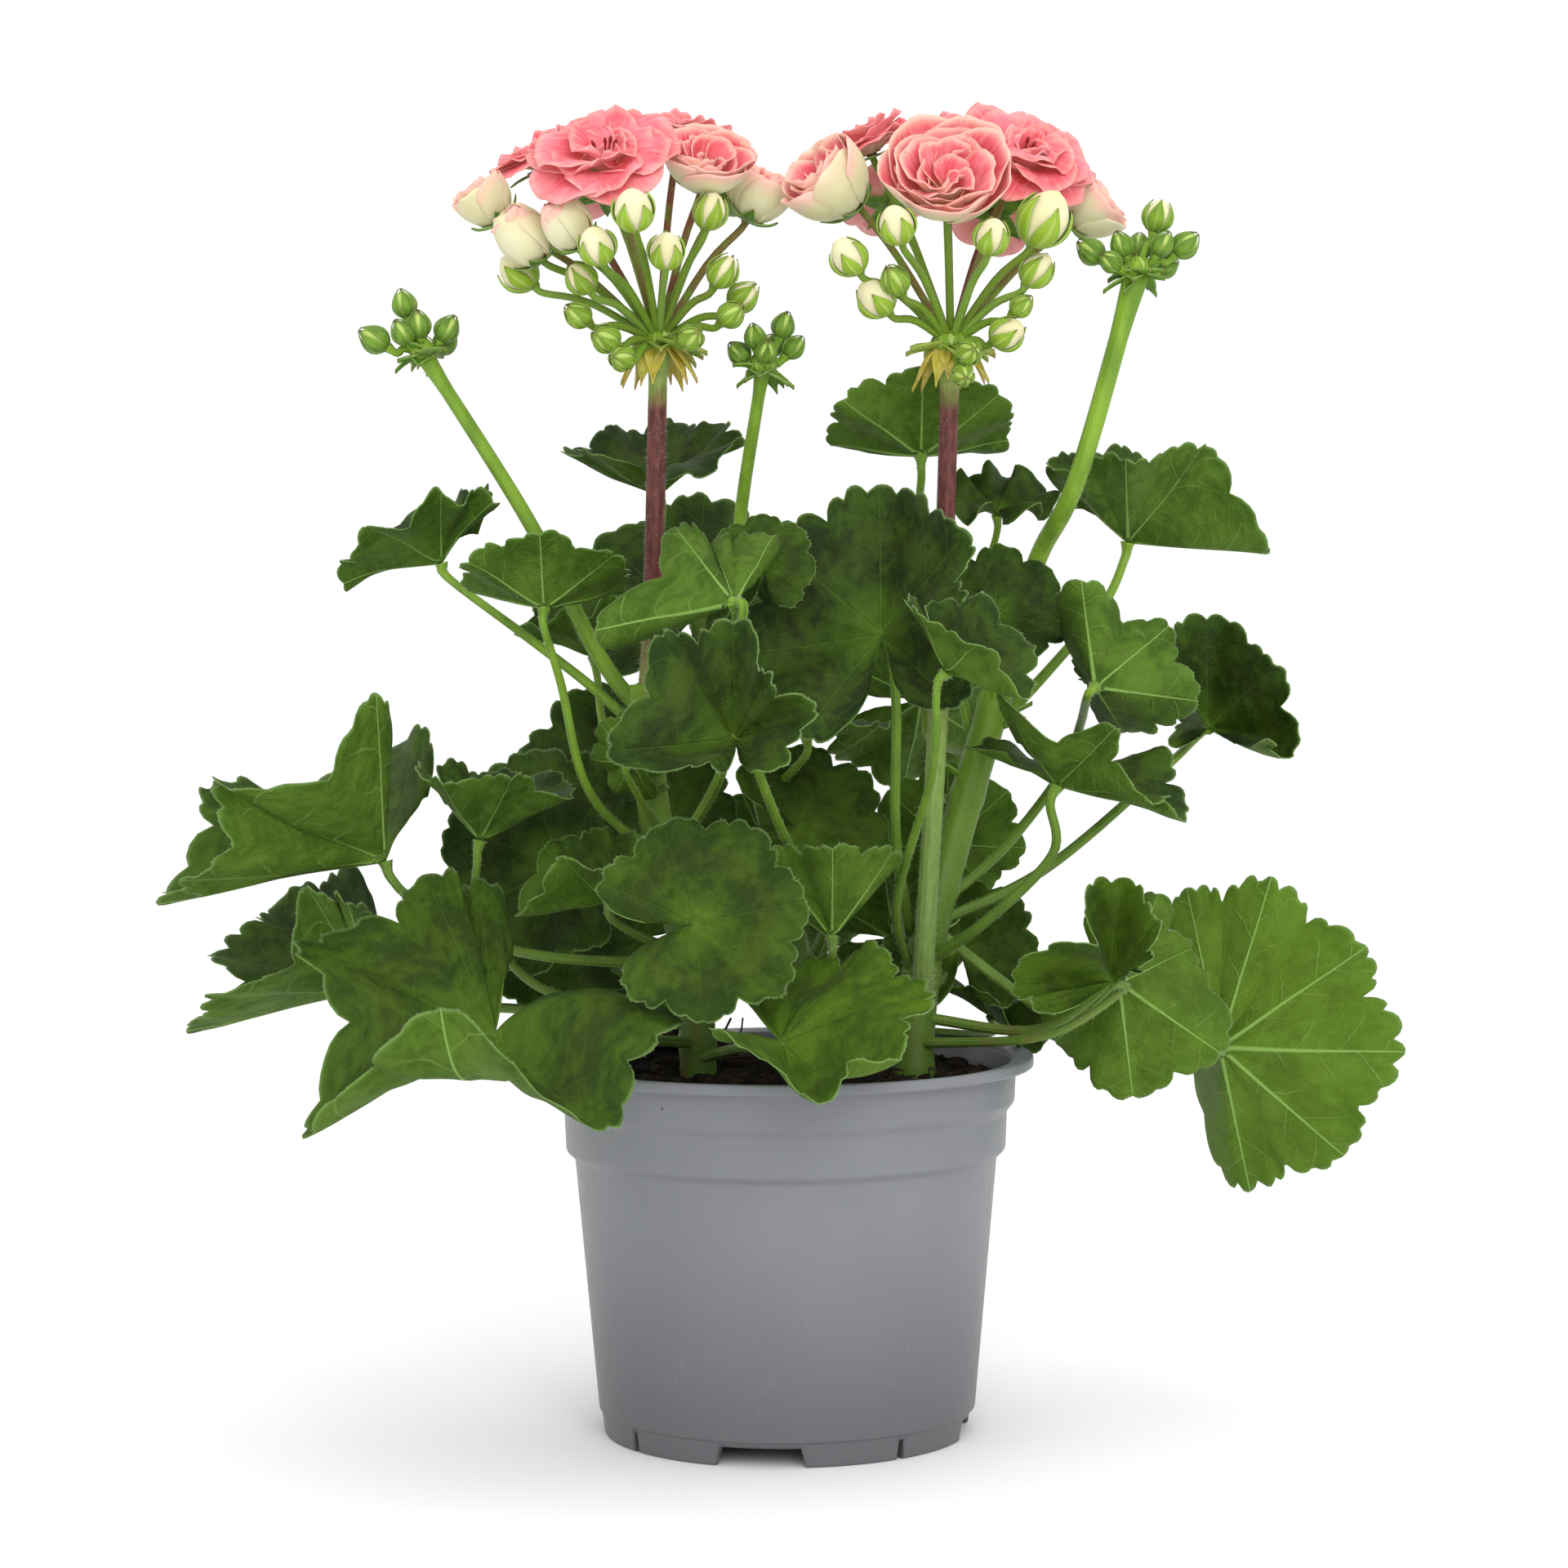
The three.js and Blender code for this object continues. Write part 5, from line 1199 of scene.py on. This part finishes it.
def stalk_material():
    """Flower stalks: pale green at the top, red-brown in the middle, olive near the soil.
    Pedicels take their redness from the tone."""
    s = Shade("flower_stalk")
    _, around, _ = s.attribute("paint")
    red = s.tone()
    z = s.height_above_ground()
    speck = s.noise(1.3, upright=0.35)
    level = z + (s.noise(8.0) - 0.5) * 0.012
    green = s.mix(s.smooth(speck, 0.3, 0.7), (0.24, 0.4, 0.075), (0.34, 0.52, 0.11))
    green = s.mix(s.smooth(red, 0.0, 0.1), green, (0.16, 0.3, 0.02))
    brown = s.mix(s.smooth(speck, 0.4, 0.65), (0.08, 0.018, 0.015), (0.14, 0.036, 0.028))
    colour = s.mix(s.smooth(level, 0.281, 0.266) * s.smooth(level, 0.165, 0.225), green, brown)
    colour = s.mix(s.smooth(z, 0.2, 0.14) * 0.6, colour, (0.07, 0.11, 0.03))
    flush = red * s.smooth(s.noise(5.0), 0.25, 0.55) * s.smooth(z, 0.28, 0.288)
    colour = s.mix(flush, colour, (0.2, 0.075, 0.035))
    ribs = s.math("SINE", around * 75.4)
    return s.finish(colour, s.height(speck, 0.12, s.height(ribs, 0.04)), Sheen_Weight=0.03,
                    Specular_IOR_Level=0.3, Subsurface_Weight=0.06, Subsurface_Scale=0.0015,
                    Subsurface_Radius=(0.6, 1.0, 0.2))


def bract_material():
    """Green to yellow scales with lengthways ribs, dry at the tip."""
    s = Shade("bract", 0.55)
    along, across, _ = s.attribute("paint")
    cloud = s.noise(2.5)
    green = s.mix(s.smooth(cloud, 0.3, 0.7), (0.2, 0.34, 0.04), (0.36, 0.45, 0.08))
    yellow = s.mix(s.smooth(cloud, 0.35, 0.65), (0.5, 0.4, 0.03), (0.6, 0.5, 0.12))
    colour = s.mix(s.smooth(s.tone(), 0.4, 0.8), green, yellow)
    dry = s.smooth(along, 0.8, 1.0) * s.smooth(cloud, 0.4, 0.7)
    colour = s.mix(dry * 0.7, colour, (0.3, 0.14, 0.05))
    normal = s.height(s.math("SINE", across * 14.0), 0.06)
    return s.finish(colour, normal, Subsurface_Weight=0.15, Subsurface_Scale=0.001)


def hair_material():
    s = Shade("hair", 0.4)
    return s.finish(s.mix(s.noise(4.0), (0.45, 0.55, 0.32), (0.7, 0.76, 0.58)), Sheen_Weight=0.2)


def pot_material():
    """Moulded grey plastic: satin, with faint flow lines and scuffs, darkened low down by painted shade, and
    dusty at the foot.
    """
    s = Shade("pot_plastic", 0.45)
    z = s.height_above_ground()
    drift = s.noise(60.0, detail=2.0)
    scuff = s.noise(1.6, detail=5.0, upright=0.35)
    grey = s.mix(s.smooth(drift, 0.3, 0.7), (0.178, 0.184, 0.199), (0.203, 0.21, 0.225))
    # Painted shade: the pot darkened from about 70 mm down to the ground.
    grey = s.mix(s.smooth(z, 0.07, 0.0) * 0.9, grey, (0.1, 0.103, 0.112))
    grey = s.mix(s.smooth(scuff, 0.55, 0.8) * 0.2, grey, (0.23, 0.235, 0.25))
    dust = s.smooth(z, 0.012, 0.002) * s.smooth(scuff, 0.4, 0.65)
    grey = s.mix(dust * 0.3, grey, (0.14, 0.12, 0.1))
    lines = s.math("SINE", z * 5200.0) * drift
    normal = s.height(s.noise(0.35, detail=2.0), 0.02, s.height(lines, 0.006))
    return s.finish(grey, normal, s.smooth(scuff, 0.4, 0.8) * 0.12 + 0.4, Specular_IOR_Level=0.3)


def peat_material():
    """Dark peat with lighter fibres and grains."""
    s = Shade("peat", 0.95)
    clump = s.noise(2.6, detail=6.0)
    grain = s.noise(0.5, detail=4.0)
    dark = s.mix(s.smooth(clump, 0.35, 0.65), (0.004, 0.003, 0.002), (0.014, 0.009, 0.005))
    dark = s.mix(s.smooth(grain, 0.62, 0.78) * 0.5, dark, (0.05, 0.034, 0.02))
    colour = s.mix(s.tone() * 0.5, dark, (0.06, 0.038, 0.022))
    return s.finish(colour, s.height(clump, 1.2, s.height(grain, 0.5)), Specular_IOR_Level=0.2)


def stage_material():
    s = Shade("stage_white", 0.9)
    return s.finish(s.mix(s.noise(400.0), (0.93, 0.93, 0.93), (0.95, 0.95, 0.95)))


LEAF = leaf_material("leaf", zone=0.12)
ZONED_LEAF = leaf_material("zoned_leaf", zone=0.8)
PETAL = petal_material()
SEPAL = sepal_material()
STEM = stem_material()
STALK = stalk_material()
BRACT = bract_material()
HAIR = hair_material()
POT = pot_material()
PEAT = peat_material()


# The plant

LEAF_FRESHNESS = 0.12
FRESH_LEAVES = {
    "left_3": 0.35, "left_8": 0.85, "left_1": 0.3, "right_1": 0.6, "right_2": 0.65,
    "right_3": 0.9, "right_4": 0.0, "middle_1": 0.35, "left_7": 0.3, "left_2": 0.25, "left_6": 0.3,
}
YOUNG_FRESHNESS = 0.3


def build_stem(side, number):
    """A main stem with its young leaves and the papery stipules at its joints."""
    rng = np.random.default_rng(200 + number)
    bars, blades, hairs, scales = Skin(), Skin(), Skin(), Skin()
    route, ends = STEMS[side]
    path = smooth_path(route, 60)
    swell = 1 + 0.1 * np.clip(np.sin(path[:, 2] / 24 * 2 * np.pi + number), 0, 1) ** 6
    radius = np.linspace(*ends, len(path)) * swell
    add_tube(bars, path, radius, 24, number, 0.0)
    hairs_along(hairs, path, radius, 1200, 1.1, rng)
    for k, plan in enumerate(YOUNG_LEAVES[side]):
        add_leaf(blades, bars, hairs, plan, 100 + 10 * number + k, YOUNG_FRESHNESS)
    for _ in range(8):
        spot = int(rng.uniform(18, len(path) - 4))
        out = spoke(rng.uniform(0, 6.28), rng.uniform(0.3, 0.9))
        start = path[spot] + unit(out * [1, 1, 0]) * radius[spot] * 0.8
        add_bract(scales, start, out, rng.uniform(6, 9), 2.6, rng.uniform(-1, 1), rng, 0.1)
    for skin, name, material in ((bars, "main_stem", STEM), (blades, "young_leaves", LEAF),
                                 (scales, "stipules", SEPAL), (hairs, "stem_hairs", HAIR)):
        skin.build(f"{name}_{side}", material, "stem", f"stem_{side}")


def build_leaf(label, plan, seed):
    blade, bar, hairs = Skin(), Skin(), Skin()
    add_leaf(blade, bar, hairs, plan, seed, FRESH_LEAVES.get(label, LEAF_FRESHNESS))
    surface = ZONED_LEAF if label == "right_3" else LEAF
    for skin, name, material in ((blade, "blade", surface), (bar, "petiole", STEM),
                                 (hairs, "leaf_hairs", HAIR)):
        skin.build(f"{name}_{label}", material, "leaf", f"leaf_{label}")


build_pot()
build_soil()
for number, side in enumerate(STEMS):
    build_stem(side, number)
labelled_leaves = [(f"{side}_{k}", plan) for side in LEAVES for k, plan in enumerate(LEAVES[side], 1)]
for seed, (label, plan) in enumerate(labelled_leaves, 1):
    build_leaf(label, plan, seed)
for side, seed in (("left", 300), ("right", 400)):
    add_umbel(side, seed)
for side, seed in (("left", 500), ("middle", 530), ("right", 560)):
    add_bud_head(side, seed)


# Floor, light and camera

FLOOR_REACH = 6.0
LIGHT_TARGET = Vector((0, 0, 0.2))
WORLD_STRENGTH = 1.06


def build_floor():
    mesh = bpy.data.meshes.new("floor")
    corners = [(x * FLOOR_REACH, y * FLOOR_REACH, 0) for x, y in ((-1, -1), (1, -1), (1, 1), (-1, 1))]
    mesh.from_pydata(corners, [], [range(4)])
    mesh.materials.append(stage_material())
    floor = bpy.data.objects.new("floor", mesh)
    bpy.context.scene.collection.objects.link(floor)


def add_area(name, place, size, power):
    light = bpy.data.lights.new(name, "AREA")
    light.shape = "RECTANGLE"
    light.size, light.size_y = size
    light.energy = power
    lamp = bpy.data.objects.new(name, light)
    lamp.location = place
    lamp.rotation_euler = (LIGHT_TARGET - lamp.location).to_track_quat("-Z", "Y").to_euler()
    bpy.context.scene.collection.objects.link(lamp)


def build_light():
    world = bpy.data.worlds.new("studio")
    world.use_nodes = True
    background = world.node_tree.nodes["Background"]
    background.inputs["Color"].default_value = (1, 1, 1, 1)
    background.inputs["Strength"].default_value = WORLD_STRENGTH
    bpy.context.scene.world = world
    add_area("key", (0.3, -2.1, 1.1), (1.3, 1.1), 22)
    add_area("top", (0.2, -0.4, 1.9), (1.6, 1.6), 6)


def build_camera():
    data = bpy.data.cameras.new("camera")
    data.lens = CAMERA_LENS
    data.sensor_width = 36
    data.clip_end = 50
    camera = bpy.data.objects.new("camera", data)
    camera.location = (np.array([0, -CAMERA_DISTANCE, CAMERA_HEIGHT]) * MM + POT_AXIS).tolist()
    camera.rotation_euler = np.radians([90 - CAMERA_PITCH, 0, 0]).tolist()
    camera.rotation_euler.rotate_axis("Z", math.radians(CAMERA_ROLL))
    bpy.context.scene.collection.objects.link(camera)
    bpy.context.scene.camera = camera


build_floor()
build_light()
build_camera()
bpy.context.scene.view_settings.view_transform = "Standard"
